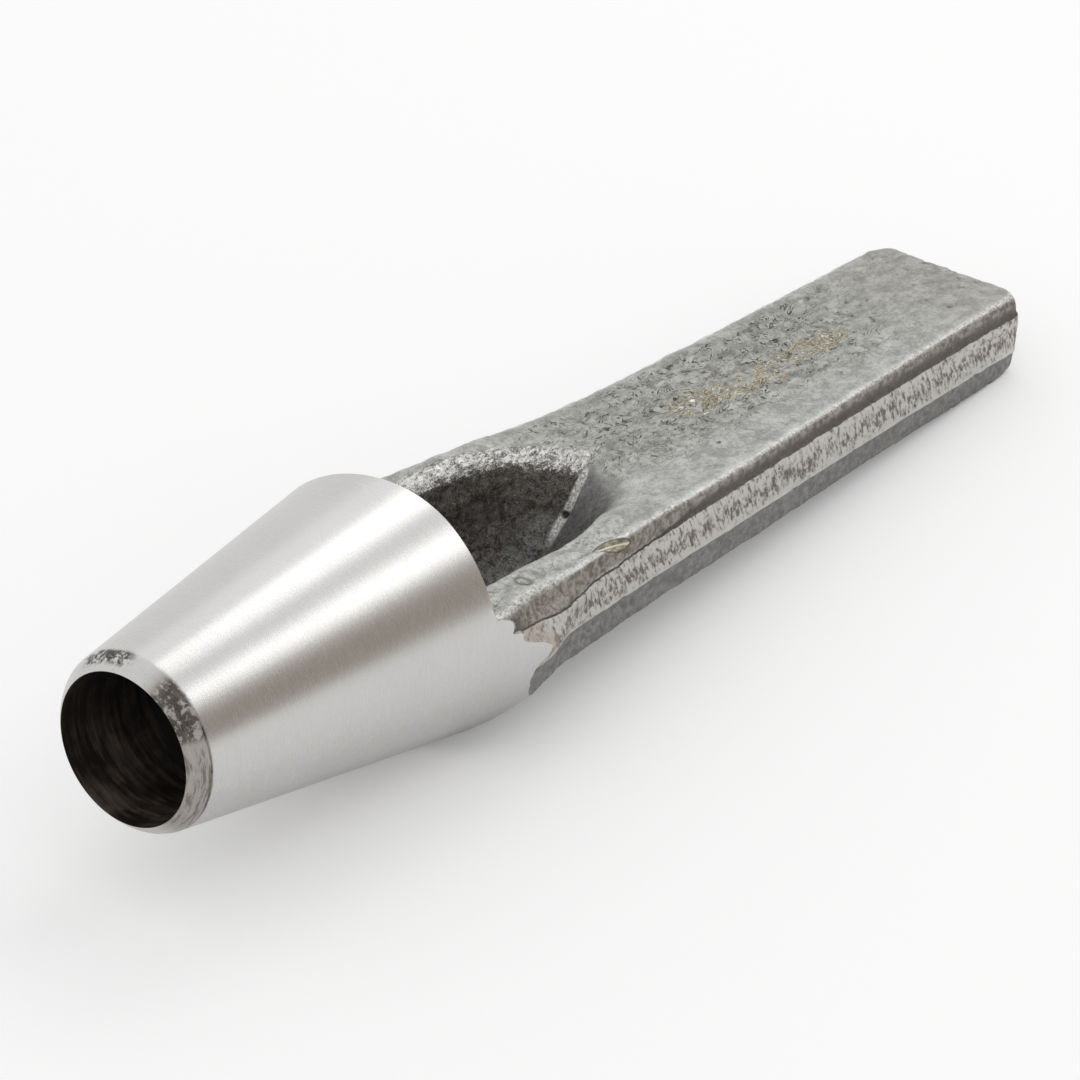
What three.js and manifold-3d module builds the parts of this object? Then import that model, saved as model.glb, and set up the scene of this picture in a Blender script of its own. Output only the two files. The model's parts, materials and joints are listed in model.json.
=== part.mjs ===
// Grommet hole punch: a hollow hand punch. Its round cutting head is turned on a lathe and ground
// to a ring edge, a pocket behind the head lets the cut discs out, and a flat forged shank carries
// the mallet's blows from the striking face at the far end.
//
// Millimetres. The punch is shaped in its own frame: x runs along the bore from the cutting edge
// to the striking face, z points up out of the pocket, and y goes across. A turned group then lays
// it on the surface z = 0, where it rests on the back of its head and on its striking end.

import * as THREE from 'three';
import { mergeVertices } from 'three/addons/utils/BufferGeometryUtils.js';
import Module from 'manifold-3d';

const wasm = await Module();
wasm.setup();

// Cutting head
const boreRadius = 7.94;
const boreRelief = 0.3;
const edgeLand = 0.08;
const bevelRadius = 9.0;
const bevelLength = 1.25;
const shoulderRadius = 9.42;
const shoulderLength = 2.2;
const headLength = 38.5;
const headBackRadius = 14.67;
const rimEdgeBreak = 0.2;

// Shank in plan: a plain taper from the neck to the striking face, and a flare that meets the head
const overallLength = 139.7;
const neckStation = 55;
const neckHalfWidth = 13.0;
const endHalfWidth = 10.0;
const taperPower = 1.4;
const flareWidth = 2.35;
const flareStart = 43.5;
const upperFlareRunout = 60;
const lowerFlareRunout = 53.5;

// Shank in section, with heights above the axis of the bore
const shankThickness = 9.15;
const neckTopHeight = 2.1;
const endTopHeight = 2.8;
const crestRadius = 0.8;
const headCrestRadius = 2.4;
const lowerEdgeRadius = 0.9;
const lowerEdgeDrop = 2.1;
const lowerDraft = 0.3;

// Trimmed flash band along both sides, where the two forging dies met
const bandTopHeight = 0.65;
const bandBottomHeight = -3.85;
const bandStandOut = 0.4;
const bandEdgeBreak = 0.15;

// How much of the flare the crest and the lower edge take, beside the flash band
const crestFlareShare = 0.8;
const lowerEdgeFlareShare = 0.15;

// Rails beside the pocket, and the keel under it
const railRise = 2.0;
const railRunout = 88;
const keelRunout = 88;
const keelFrontDepth = 13.1;
const keelRearDepth = 8.4;

// Pocket: a trough as wide as the bore, closed behind by a pointed nose whose stem is a ramp
const pocketHalfWidth = 8.8;
const noseStart = 56;
const noseTip = 75.3;
const nosePower = 0.75;
const rampFoot = 65.4;
const rampAngle = THREE.MathUtils.degToRad(53.7);
const rampFootBlend = 0.8;
const rampCrestBlend = 2.2;
const pocketEdgeWear = 0.5;
const tipLand = 0.08;

// Striking end
const endCornerRadius = 2.2;
const endTopRadius = 0.9;
const endBottomRadius = 1.1;

// Fits and cuts
const seamGap = 0.3;
const cutOverrun = 3;

// Facets
const turnedFacets = 96;
const troughFacets = 16;
const cornerFacets = 5;
const keelFacets = 8;
const endFacets = 6;
const neckSteps = 12;
const keelSteps = 10;
const tailSteps = 5;
const noseSteps = 6;
const rampSteps = 14;

const { lerp } = THREE.MathUtils;
const troughRadius = boreRadius + boreRelief;
const coneSlope = (headBackRadius - shoulderRadius) / (headLength - shoulderLength);

// Radius that the lathe tool leaves at a station, on the cone or on its run-out over the forging.
function turnedRadius(x) {
  return shoulderRadius + coneSlope * (x - shoulderLength);
}

// Height of the quarter round that drops a face into the striking end, zero before it starts.
function endRound(x, radius) {
  const reach = Math.max(0, x - (overallLength - radius));
  return radius - Math.sqrt(Math.max(0, radius ** 2 - reach ** 2));
}

// One up to the start, zero from the run-out on, and an even S-shaped change between them.
function fadeShare(x, start, runout) {
  return THREE.MathUtils.smoothstep(-x, -runout, -start);
}

// The lower or the higher of two heights, with a rounded change from one to the other.
function smoothLower(a, b, blend) {
  return (a + b - Math.hypot(a - b, blend)) / 2;
}

function smoothHigher(a, b, blend) {
  return (a + b + Math.hypot(a - b, blend)) / 2;
}

function alongShare(x) {
  return (x - neckStation) / (overallLength - neckStation);
}

function plainHalfWidth(x) {
  const widening = (neckHalfWidth - endHalfWidth) * (1 - alongShare(x)) ** taperPower;
  return endHalfWidth + widening - endRound(x, endCornerRadius);
}

function flare(x, runout) {
  return flareWidth * fadeShare(x, flareStart, runout);
}

function plainTop(x) {
  return lerp(neckTopHeight, endTopHeight, alongShare(x));
}

function railTop(x) {
  const rise = railRise * fadeShare(x, headLength, railRunout);
  return plainTop(x) + rise - endRound(x, endTopRadius);
}

function undersideHeight(x) {
  return plainTop(x) - shankThickness + endRound(x, endBottomRadius);
}

// The keel's side view. Its control points lie at equal steps along x, so x grows evenly with t.
const keelPitch = (keelRunout - headLength) / 3;
const keelCurve = new THREE.CubicBezierCurve(
  new THREE.Vector2(headLength, -headBackRadius),
  new THREE.Vector2(headLength + keelPitch, -keelFrontDepth),
  new THREE.Vector2(keelRunout - keelPitch, -keelRearDepth),
  new THREE.Vector2(keelRunout, undersideHeight(keelRunout)),
);

function keelHeight(x) {
  if (x >= keelRunout) {
    return undersideHeight(x);
  }
  return keelCurve.getPoint((x - headLength) / (keelRunout - headLength)).y;
}

// Points of a quarter round on the outer side, in rising order: the lower one runs from straight
// below its centre out to the side, the upper one from the side to straight above its centre.
function corner(centreY, centreZ, radius, upwards) {
  return Array.from({ length: cornerFacets + 1 }, (_, i) => {
    const turn = (i / cornerFacets) * Math.PI / 2;
    const y = centreY + radius * (upwards ? Math.cos(turn) : Math.sin(turn));
    return new THREE.Vector2(y, centreZ + radius * (upwards ? Math.sin(turn) : -Math.cos(turn)));
  });
}

// Right half of the shank's section, from the keel outwards and up to the crest beside the rail.
function shankHalfSection(x) {
  const half = plainHalfWidth(x);
  const upperHalf = half + flare(x, upperFlareRunout);
  const lowerHalf = half + flare(x, lowerFlareRunout);
  const edgeHalf = lerp(half, lowerHalf, lowerEdgeFlareShare) - lowerDraft;
  const crestHalf = lerp(half, upperHalf, crestFlareShare) - bandStandOut;
  const edgeDrop = lowerEdgeDrop * fadeShare(x, headLength, lowerFlareRunout);
  const edgeHeight = undersideHeight(x) - edgeDrop;
  const keelHalf = edgeHalf - lowerEdgeRadius;
  const crest = lerp(crestRadius, headCrestRadius, fadeShare(x, flareStart, upperFlareRunout));

  const keel = Array.from({ length: keelFacets }, (_, i) => {
    const share = i / keelFacets;
    return new THREE.Vector2(keelHalf * share, lerp(keelHeight(x), edgeHeight, share ** 2));
  });
  return [
    ...keel,
    ...corner(keelHalf, edgeHeight + lowerEdgeRadius, lowerEdgeRadius, false),
    new THREE.Vector2(lowerHalf, bandBottomHeight),
    new THREE.Vector2(upperHalf, bandTopHeight - bandEdgeBreak),
    new THREE.Vector2(crestHalf, bandTopHeight),
    ...corner(crestHalf - crest, railTop(x) - crest, crest, true),
  ];
}

// Height of the pocket's floor line: along the trough, then up the ramp and over its rounded crest.
function pocketFloor(x) {
  const ramp = (x - rampFoot) * Math.tan(rampAngle) - troughRadius;
  const crested = smoothLower(ramp, railTop(x), rampCrestBlend);
  return x < rampFoot ? -troughRadius : smoothHigher(crested, -troughRadius, rampFootBlend);
}

function pocketWidthShare(x) {
  const noseShare = Math.max(0, (x - noseStart) / (noseTip - noseStart));
  return Math.max(0, 1 - noseShare ** 2) ** nosePower;
}

// Right half of the pocket's section, from its floor line up the wall and out over the worn edge.
function pocketHalfSection(x) {
  const top = railTop(x);
  const floor = pocketFloor(x);
  const width = pocketWidthShare(x);
  const points = [];
  for (let i = 0; i <= troughFacets; i++) {
    const angle = (i / troughFacets) * Math.PI / 2;
    const y = troughRadius * Math.sin(angle);
    const heightShare = (1 - Math.cos(angle)) * troughRadius / (troughRadius + top);
    points.push(new THREE.Vector2(width * y, lerp(floor, top, heightShare)));
  }
  points.push(new THREE.Vector2(width * pocketHalfWidth, top - pocketEdgeWear));
  points.push(new THREE.Vector2(width * (pocketHalfWidth + pocketEdgeWear), top + tipLand));
  points.push(new THREE.Vector2(width * (pocketHalfWidth + cutOverrun), top + cutOverrun));
  return points;
}

// Whole outline from its right half: the half is mirrored, and a point on the middle isn't doubled.
function mirroredOutline(halfSection) {
  const left = halfSection.filter((point) => point.x > 0).reverse();
  return [...halfSection, ...left.map((point) => new THREE.Vector2(-point.x, point.y))];
}

// Closed skin through a row of outlines in planes across x, with a flat cap at each end.
function loft(stations, halfSection) {
  const outlines = stations.map((x) => mirroredOutline(halfSection(x)));
  const count = outlines[0].length;
  const positions = [];
  const indices = [];
  outlines.forEach((outline, row) => {
    outline.forEach((point) => positions.push(stations[row], point.x, point.y));
  });
  for (let row = 0; row < outlines.length - 1; row++) {
    for (let i = 0; i < count; i++) {
      const next = (i + 1) % count;
      const a = row * count + i;
      const b = row * count + next;
      indices.push(a, b, b + count, a, b + count, a + count);
    }
  }
  const lastRow = (outlines.length - 1) * count;
  for (const [a, b, c] of THREE.ShapeUtils.triangulateShape(outlines[0], [])) {
    indices.push(a, c, b);
  }
  for (const [a, b, c] of THREE.ShapeUtils.triangulateShape(outlines.at(-1), [])) {
    indices.push(lastRow + a, lastRow + b, lastRow + c);
  }
  const geometry = new THREE.BufferGeometry();
  geometry.setAttribute('position', new THREE.Float32BufferAttribute(positions, 3));
  geometry.setIndex(indices);
  return geometry;
}

// Lathe work is revolved about the bore's axis, from points given as radius and station.
function turned(profile) {
  const points = profile.map(([radius, x]) => new THREE.Vector2(radius, x));
  return new THREE.LatheGeometry(points, turnedFacets).rotateZ(-Math.PI / 2);
}

function toSolid(geometry) {
  geometry.deleteAttribute('normal');
  geometry.deleteAttribute('uv');
  const merged = mergeVertices(geometry);
  const mesh = new wasm.Mesh({
    numProp: 3,
    vertProperties: merged.attributes.position.array,
    triVerts: Uint32Array.from(merged.index.array),
  });
  return new wasm.Manifold(mesh);
}

function toGeometry(solid) {
  const mesh = solid.getMesh();
  const geometry = new THREE.BufferGeometry();
  geometry.setAttribute('position', new THREE.Float32BufferAttribute(mesh.vertProperties, 3));
  geometry.setIndex(Array.from(mesh.triVerts));
  geometry.computeVertexNormals();
  return geometry;
}

// Stations from one length to another in even steps, without the last one.
function steps(from, to, count) {
  return Array.from({ length: count }, (_, i) => lerp(from, to, i / count));
}

function cuttingHead() {
  const back = headLength;
  const ring = [
    [boreRadius, 0],
    [boreRadius + edgeLand, 0],
    [bevelRadius, bevelLength],
    [shoulderRadius, shoulderLength],
    [turnedRadius(back - rimEdgeBreak), back - rimEdgeBreak],
    [headBackRadius - rimEdgeBreak, back],
    [troughRadius, back],
    [boreRadius, 0],
  ];
  return toGeometry(toSolid(turned(ring)));
}

function shankStations() {
  const front = headLength + seamGap;
  const roundStart = overallLength - endCornerRadius;
  const round = Array.from({ length: endFacets + 1 }, (_, i) => {
    return roundStart + endCornerRadius * Math.sin((i / endFacets) * Math.PI / 2);
  });
  return [
    ...steps(front, neckStation, neckSteps),
    ...steps(neckStation, keelRunout, keelSteps),
    ...steps(keelRunout, roundStart, tailSteps),
    ...round,
  ];
}

function pocketStations() {
  return [
    headLength - cutOverrun,
    ...steps(noseStart, rampFoot, noseSteps),
    ...steps(rampFoot, noseTip, rampSteps),
    noseTip - tipLand,
  ];
}

function forgedShank() {
  const turningStart = headLength - cutOverrun;
  const turningEnd = overallLength + cutOverrun;
  const turningEnvelope = toSolid(turned([
    [0, turningStart],
    [turnedRadius(turningStart), turningStart],
    [turnedRadius(turningEnd), turningEnd],
    [0, turningEnd],
  ]));
  const forging = toSolid(loft(shankStations(), shankHalfSection));
  const pocket = toSolid(loft(pocketStations(), pocketHalfSection));
  return toGeometry(forging.intersect(turningEnvelope).subtract(pocket));
}

// Angle at which the punch lies: its floor line touches the back of the head and the rounded lower
// edge of the striking end.
function restingAngle() {
  const reach = overallLength - endBottomRadius - headLength;
  const drop = headBackRadius + plainTop(overallLength) - shankThickness + endBottomRadius;
  const span = Math.hypot(reach, drop);
  return Math.atan2(drop, reach) - Math.asin(endBottomRadius / span);
}

const turnedSteel = new THREE.MeshStandardMaterial({ color: 0xc9c7c2, roughness: 0.3, metalness: 1 });
const forgedSteel = new THREE.MeshStandardMaterial({ color: 0x6f6e6a, roughness: 0.55, metalness: 0.8 });

const head = new THREE.Mesh(cuttingHead(), turnedSteel);
head.name = 'cutting_head';

const shank = new THREE.Mesh(forgedShank(), forgedSteel);
shank.name = 'forged_shank';

const punch = new THREE.Group();
punch.add(head, shank);
punch.rotation.y = restingAngle();

// The turned punch is set down with the middle of its footprint over the origin.
const footprint = new THREE.Box3().setFromObject(punch, true);
punch.position.x = -(footprint.min.x + footprint.max.x) / 2;
punch.position.z = -footprint.min.z;

const part = new THREE.Group();
part.add(punch);

export default part;
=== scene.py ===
# %% [markdown]
# # A forged hollow punch
#
# This lesson dresses a grommet hole punch: a hand tool that is struck with a mallet and cuts a
# round hole in canvas or leather. The real one is a single forging. Its head is turned bright on
# a lathe and ground to a ring edge; its shank keeps the grey, scaly skin of the forge.
#
# The construction model already holds its true sizes. It is loaded first, as a fixed frame, and
# everything that follows is made around it. Work is done in millimetres, along the bore, and
# each finished piece is then laid down in metres where the frame lies.

# %% Load the frame
import json
import math

import bmesh
import bpy
import numpy as np
from mathutils import Matrix, Vector, geometry, noise


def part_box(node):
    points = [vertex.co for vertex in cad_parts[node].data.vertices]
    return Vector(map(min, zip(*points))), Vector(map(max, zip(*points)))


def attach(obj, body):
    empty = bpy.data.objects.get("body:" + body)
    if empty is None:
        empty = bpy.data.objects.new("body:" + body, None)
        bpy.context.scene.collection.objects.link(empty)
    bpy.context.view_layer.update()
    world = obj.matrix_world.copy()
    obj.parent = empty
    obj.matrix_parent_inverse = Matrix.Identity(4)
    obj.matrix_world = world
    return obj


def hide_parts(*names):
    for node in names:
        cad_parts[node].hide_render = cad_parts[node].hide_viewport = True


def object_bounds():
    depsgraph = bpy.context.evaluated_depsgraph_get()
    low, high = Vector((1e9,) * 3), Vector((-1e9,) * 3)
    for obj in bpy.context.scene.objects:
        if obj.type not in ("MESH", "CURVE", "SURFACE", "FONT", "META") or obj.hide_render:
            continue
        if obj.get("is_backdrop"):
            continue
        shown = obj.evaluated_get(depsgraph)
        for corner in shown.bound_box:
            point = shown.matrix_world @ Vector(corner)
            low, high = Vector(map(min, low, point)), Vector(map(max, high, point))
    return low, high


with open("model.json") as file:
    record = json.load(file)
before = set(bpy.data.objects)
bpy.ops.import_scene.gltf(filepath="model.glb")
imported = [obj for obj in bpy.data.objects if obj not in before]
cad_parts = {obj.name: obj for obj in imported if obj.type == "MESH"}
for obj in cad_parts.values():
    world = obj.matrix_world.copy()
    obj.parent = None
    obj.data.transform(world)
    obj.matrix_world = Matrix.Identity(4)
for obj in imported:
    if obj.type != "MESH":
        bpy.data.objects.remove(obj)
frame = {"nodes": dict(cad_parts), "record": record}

CAD_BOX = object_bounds()
print("frame nodes:", sorted(frame["nodes"]), "box:", [tuple(round(c, 5) for c in p) for p in CAD_BOX])

# %% [markdown]
# ## The sizes of the forging
#
# Most of these are the driving sizes of the construction model, in millimetres: stations along
# the bore from the cutting edge, and heights above the bore's axis. The shank is 0.25 mm thicker
# here at the neck and 0.6 mm at the end, since its outline was measured again. Its edges are
# crisper, because the even skin that is made later rounds them again. The near side has a few
# sizes of its own. The punch is described in the frame of its bore, where x runs back from the
# cutting edge, y goes across and z points out of the pocket.

# %% Sizes along the bore
MM = 0.001

BORE_RADIUS = 7.94
BORE_RELIEF = 0.3
EDGE_LAND = 0.08
SHOULDER_RADIUS = 9.42
SHOULDER_STATION = 2.2
HEAD_LENGTH = 38.5
HEAD_BACK_RADIUS = 14.67
RIM_BREAK = 0.2
JOINT_STATION = 38.6

OVERALL_LENGTH = 139.7
NECK_STATION = 55.0
NECK_HALF_WIDTH = 13.0
END_HALF_WIDTH = 10.0
TAPER_POWER = 1.4
FLARE_WIDTH = 2.35
FLARE_START = 43.5
UPPER_FLARE_RUNOUT = 60.0
LOWER_FLARE_RUNOUT = 53.5

NECK_TOP = 2.2
END_TOP = 3.15
NECK_BOTTOM = -7.2
END_BOTTOM = -6.6
NEAR_CREST_RADII = (0.8, 1.9)
NEAR_FLANK_DRAFT = 1.3
NEAR_DRAFT_RANGE = (40.0, 47.0)
FAR_CREST_RADII = (0.4, 1.7)
LOWER_EDGE_RADIUS = 0.3
LOWER_EDGE_DROP = 2.1
LOWER_DRAFT = 0.2

BAND_TOP = 0.65
BAND_BOTTOM = -3.85
BAND_BREAK = 0.15
LOWER_EDGE_FLARE_SHARE = 0.15

RAIL_RISE = 2.0
RAIL_RUNOUT = 88.0
KEEL_RUNOUT = 88.0
KEEL_FRONT_DEPTH = 13.1
KEEL_REAR_DEPTH = 8.4

POCKET_HALF_WIDTH = 8.8
NOSE_START = 56.0
NOSE_TIP = 75.3
NOSE_POWER = 0.75
RAMP_FOOT = 65.4
RAMP_ANGLE = math.radians(53.7)
RAMP_FOOT_BLEND = 0.8
RAMP_CREST_BLEND = 2.2

BAND_CORNER_RADIUS = 0.7
CREST_CORNER_RADIUS = 1.0
WORN_CREST = 0.9
WORN_LENGTH = 3.0
LOWER_CORNER_LENGTH = 7.3
LOWER_CORNER_RADIUS = 2.4
END_TOP_RADIUS = 0.35
END_BOTTOM_RADIUS = 1.1

TROUGH_RADIUS = BORE_RADIUS + BORE_RELIEF
CONE_SLOPE = (HEAD_BACK_RADIUS - SHOULDER_RADIUS) / (HEAD_LENGTH - SHOULDER_STATION)


def cone_radius(x):
    """Radius that the lathe tool leaves at a station. It works on arrays too."""
    return SHOULDER_RADIUS + CONE_SLOPE * (x - SHOULDER_STATION)


print("cone half angle: %.2f degrees" % math.degrees(math.atan(CONE_SLOPE)))

# %% [markdown]
# ## How the punch lies
#
# The punch rests on the back rim of its head and on the lower edge of its striking end, so its
# bore leans. The frame's striking face tells the lean, and the head's box tells the place. One
# matrix then carries a mesh from the bore's millimetres to the frame's metres.

# %% Lay the punch as the frame lies
strike = next(m for m in frame["record"]["mounts"] if m["name"] == "striking_face")
LEAN = math.atan2(-strike["axis"][2], strike["axis"][0])
head_low, head_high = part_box("cutting_head")
edge_reach = -(BORE_RADIUS + EDGE_LAND) * math.sin(LEAN)
rim_station = HEAD_LENGTH - RIM_BREAK
rim_height = cone_radius(rim_station) * math.cos(LEAN) - rim_station * math.sin(LEAN)
SHIFT = Vector((head_low.x / MM - edge_reach, 0, head_high.z / MM - rim_height))
TURN = Matrix.Rotation(LEAN, 4, "Y")
PLACE = Matrix.Scale(MM, 4) @ Matrix.Translation(SHIFT) @ TURN


def to_world(point):
    """A point of the bore's frame, in millimetres, as a point of the scene in metres."""
    return PLACE @ Vector(point)


print("lean: %.3f degrees, shift: %s" % (math.degrees(LEAN), tuple(round(c, 4) for c in SHIFT)))

# %% [markdown]
# ## The camera
#
# The camera looks from the cutting edge's side, a little to the left and from above, through a
# long lens. Its place and aim were found by fitting the round edges of the head and the lines of
# the shank, and are written in the bore's frame like every other size.

# %% Make the camera
CAMERA_PLACE = (-303.82, -271.75, 241.78)
CAMERA_TARGET = (64.125, -0.095, -2.512)
SENSOR_WIDTH = 36.0
IMAGE_SIDE = 1080
FOCAL_PIXELS = 5000

camera_data = bpy.data.cameras.new("camera")
camera_data.sensor_width = SENSOR_WIDTH
camera_data.lens = FOCAL_PIXELS * SENSOR_WIDTH / IMAGE_SIDE
camera_data.clip_start = 0.01
camera = bpy.data.objects.new("camera", camera_data)
bpy.context.scene.collection.objects.link(camera)
camera.location = to_world(CAMERA_PLACE)
aim = to_world(CAMERA_TARGET) - camera.location
camera.rotation_euler = aim.to_track_quat("-Z", "Y").to_euler()
bpy.context.scene.camera = camera
print("camera at", tuple(round(c, 4) for c in camera.location), "lens %.1f mm" % camera_data.lens)

# %% [markdown]
# ## Small tools for the whole lesson
#
# `ramp` is the smooth step that blends one form into another, `window` rises and falls again, and
# `bell` fades with the distance from a line. `grain` is fractal noise read at each point of a
# mesh, stretched where the metal was stretched. They all take arrays, so a whole skin is shaped
# at once.

# %% Blends and noise on arrays
GRAIN_SHIFT = (17.3, 5.1, 11.7)
GRAIN_FALL = 0.6
GRAIN_STEP = 2.0
BOX_MARGIN = 1e-6


def ramp(values, start, stop):
    """Zero at start, one at stop, and an S-shaped change between them."""
    share = np.clip((values - start) / (stop - start), 0, 1)
    return share * share * (3 - 2 * share)


def window(values, start, full, fading, stop):
    """One from full to fading, zero before the start and after the stop."""
    return ramp(values, start, full) * (1 - ramp(values, fading, stop))


def bell(distance, spread):
    """One on a line, falling off on both sides of it."""
    return np.exp(-(distance / spread) ** 2)


def grain(points, size, seed, octaves=3, stretch=(1, 1, 1)):
    """Fractal noise about -1 to 1 at each point, with lumps of about this size in millimetres."""
    offset = Vector(GRAIN_SHIFT) * seed
    scaled = np.asarray(points) / (np.array(stretch) * size)
    spots = [Vector(p) + offset for p in scaled]
    return np.array([noise.fractal(spot, GRAIN_FALL, GRAIN_STEP, octaves) for spot in spots])


def read_points(mesh):
    co = np.empty(len(mesh.vertices) * 3)
    mesh.vertices.foreach_get("co", co)
    return co.reshape(-1, 3)


def write_points(mesh, points):
    mesh.vertices.foreach_set("co", np.asarray(points).ravel())
    mesh.update()


def read_normals(mesh):
    normals = np.empty(len(mesh.vertices) * 3, np.float32)
    mesh.vertex_normals.foreach_get("vector", normals)
    return normals.reshape(-1, 3).astype(float)


def store(mesh, name, values):
    """Keeps one number per vertex, for the materials."""
    layer = mesh.attributes.new(name, "FLOAT", "POINT")
    layer.data.foreach_set("value", np.clip(values, 0, 1).astype(np.float32))


def mesh_from(body, name):
    """A mesh of this name from a finished bmesh."""
    mesh = bpy.data.meshes.new(name)
    body.to_mesh(mesh)
    body.free()
    return mesh


def new_piece(name, mesh):
    piece = bpy.data.objects.new(name, mesh)
    bpy.context.scene.collection.objects.link(piece)
    return piece


def lay_down(mesh, sharp_degrees):
    """Smooth shading that breaks at sharp edges, and the mesh in the frame's place and box."""
    marked = [edge.index for edge in mesh.edges if edge.use_edge_sharp]
    mesh.shade_smooth()
    mesh.set_sharp_from_angle(angle=math.radians(sharp_degrees))
    for index in marked:
        mesh.edges[index].use_edge_sharp = True
    mesh.transform(PLACE)
    low, high = (np.array(corner) for corner in CAD_BOX)
    write_points(mesh, np.clip(read_points(mesh), low + BOX_MARGIN, high - BOX_MARGIN))


# %% [markdown]
# ## The turned head
#
# A lathe makes a surface of revolution, so the head is made the same way: half of its section is
# drawn as a line of vertices and spun round the bore. The lip is a short curve, because the
# ground bevel of the real edge runs softly into the cone.

# %% Draw the head's half section
LIP_STEPS = 14
CONE_STEPS = 70
BORE_STEPS = 46
BACK_STEPS = 12
LIP_GRIND_HANDLE = (0.75, 8.78)
LIP_SHOULDER_HANDLE = (1.35, 9.3)

edge = Vector((0, BORE_RADIUS + EDGE_LAND, 0))
grind = Vector((*LIP_GRIND_HANDLE, 0))
shoulder = Vector((*LIP_SHOULDER_HANDLE, 0))
lip_end = Vector((SHOULDER_STATION, SHOULDER_RADIUS, 0))
lip = geometry.interpolate_bezier(edge, grind, shoulder, lip_end, LIP_STEPS)
profile = [(0, BORE_RADIUS)] + [(point.x, point.y) for point in lip]
rim_station = JOINT_STATION - RIM_BREAK
for step in range(1, CONE_STEPS + 1):
    x = SHOULDER_STATION + (rim_station - SHOULDER_STATION) * step / CONE_STEPS
    profile.append((x, cone_radius(x)))
rim_radius = cone_radius(JOINT_STATION)
for step in range(BACK_STEPS + 1):
    profile.append((JOINT_STATION, rim_radius + (TROUGH_RADIUS - rim_radius) * step / BACK_STEPS))
for step in range(1, BORE_STEPS):
    share = step / BORE_STEPS
    profile.append((JOINT_STATION * (1 - share), TROUGH_RADIUS - BORE_RELIEF * share))
print("points in the half section:", len(profile))

# %% Spin the section round the bore
SPIN_STEPS = 256
MERGE_DISTANCE = 0.0005


def spin_round_bore(name, profile, closed):
    """Spins stations and radii round the bore. An open profile has its two ends on the axis."""
    body = bmesh.new()
    verts = [body.verts.new((station, 0, radius)) for station, radius in profile]
    following = verts[1:] + verts[:1] if closed else verts[1:]
    edges = [body.edges.new(pair) for pair in zip(verts, following)]
    bmesh.ops.spin(body, geom=verts + edges, cent=(0, 0, 0), axis=(1, 0, 0), dvec=(0, 0, 0),
                   angle=math.tau, steps=SPIN_STEPS, use_merge=True, use_normal_flip=False,
                   use_duplicate=False)
    bmesh.ops.remove_doubles(body, verts=body.verts, dist=MERGE_DISTANCE)
    bmesh.ops.recalc_face_normals(body, faces=body.faces)
    return mesh_from(body, name)


head_mesh = spin_round_bore("turned_head", profile, closed=True)
print("head:", len(head_mesh.polygons), "faces")

# %% [markdown]
# ### The free rim and the worn lip
#
# Above the rails the head ends in a free rim. The forging dies left that wall a little slanted,
# so the rim's station changes round the head: it is shortest on the far side. Where the head
# runs on into the shank, the rim stays at the joint and keeps its full radius, so that the two
# pieces meet without a line.

# %% Slant the rim, break its edge and wear the lip
RIM_SLANT = 1.5
RIM_SLANT_ANGLE = math.radians(-40)
RIM_SLANT_SPREAD = math.radians(75)
RIM_FREE_ANGLE = math.radians(76)
RIM_FREE_BLEND = math.radians(7)
RIM_REACH = 9.0
LIP_WEAR = 0.035
LIP_WEAR_SIZE = 1.6
LIP_WEAR_START = 0.4
TOUCH = 0.01
HEAD_SHARP_DEGREES = 30

points = read_points(head_mesh)
radius = np.hypot(points[:, 1], points[:, 2])
angle = np.arctan2(-points[:, 1], points[:, 2])
free = 1 - ramp(np.abs(angle), RIM_FREE_ANGLE - RIM_FREE_BLEND, RIM_FREE_ANGLE)
turned_side = radius > cone_radius(points[:, 0]) - TOUCH
outer = turned_side & (points[:, 0] > SHOULDER_STATION)
slant = np.cos(np.clip((angle - RIM_SLANT_ANGLE) / RIM_SLANT_SPREAD, -1, 1) * math.pi / 2) ** 2
reach = ramp(points[:, 0], JOINT_STATION - RIM_REACH, JOINT_STATION) * free * slant
at_rim = outer & (points[:, 0] > JOINT_STATION - TOUCH)
points[:, 0] -= RIM_SLANT * reach
new_radius = np.where(outer, cone_radius(points[:, 0]), radius) - RIM_BREAK * at_rim * free
lip_zone = 1 - ramp(points[:, 0], LIP_WEAR_START, SHOULDER_STATION)
lip_zone *= radius > BORE_RADIUS + EDGE_LAND / 2
new_radius -= LIP_WEAR * lip_zone * np.abs(grain(points, LIP_WEAR_SIZE, 3))
points[:, 1] *= new_radius / radius
points[:, 2] *= new_radius / radius
write_points(head_mesh, points)
lay_down(head_mesh, HEAD_SHARP_DEGREES)
head = new_piece("turned_head", head_mesh)
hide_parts("cutting_head")
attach(head, "root")
print("rim stations: %.2f to %.2f" % (points[at_rim, 0].min(), points[at_rim, 0].max()))
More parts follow.
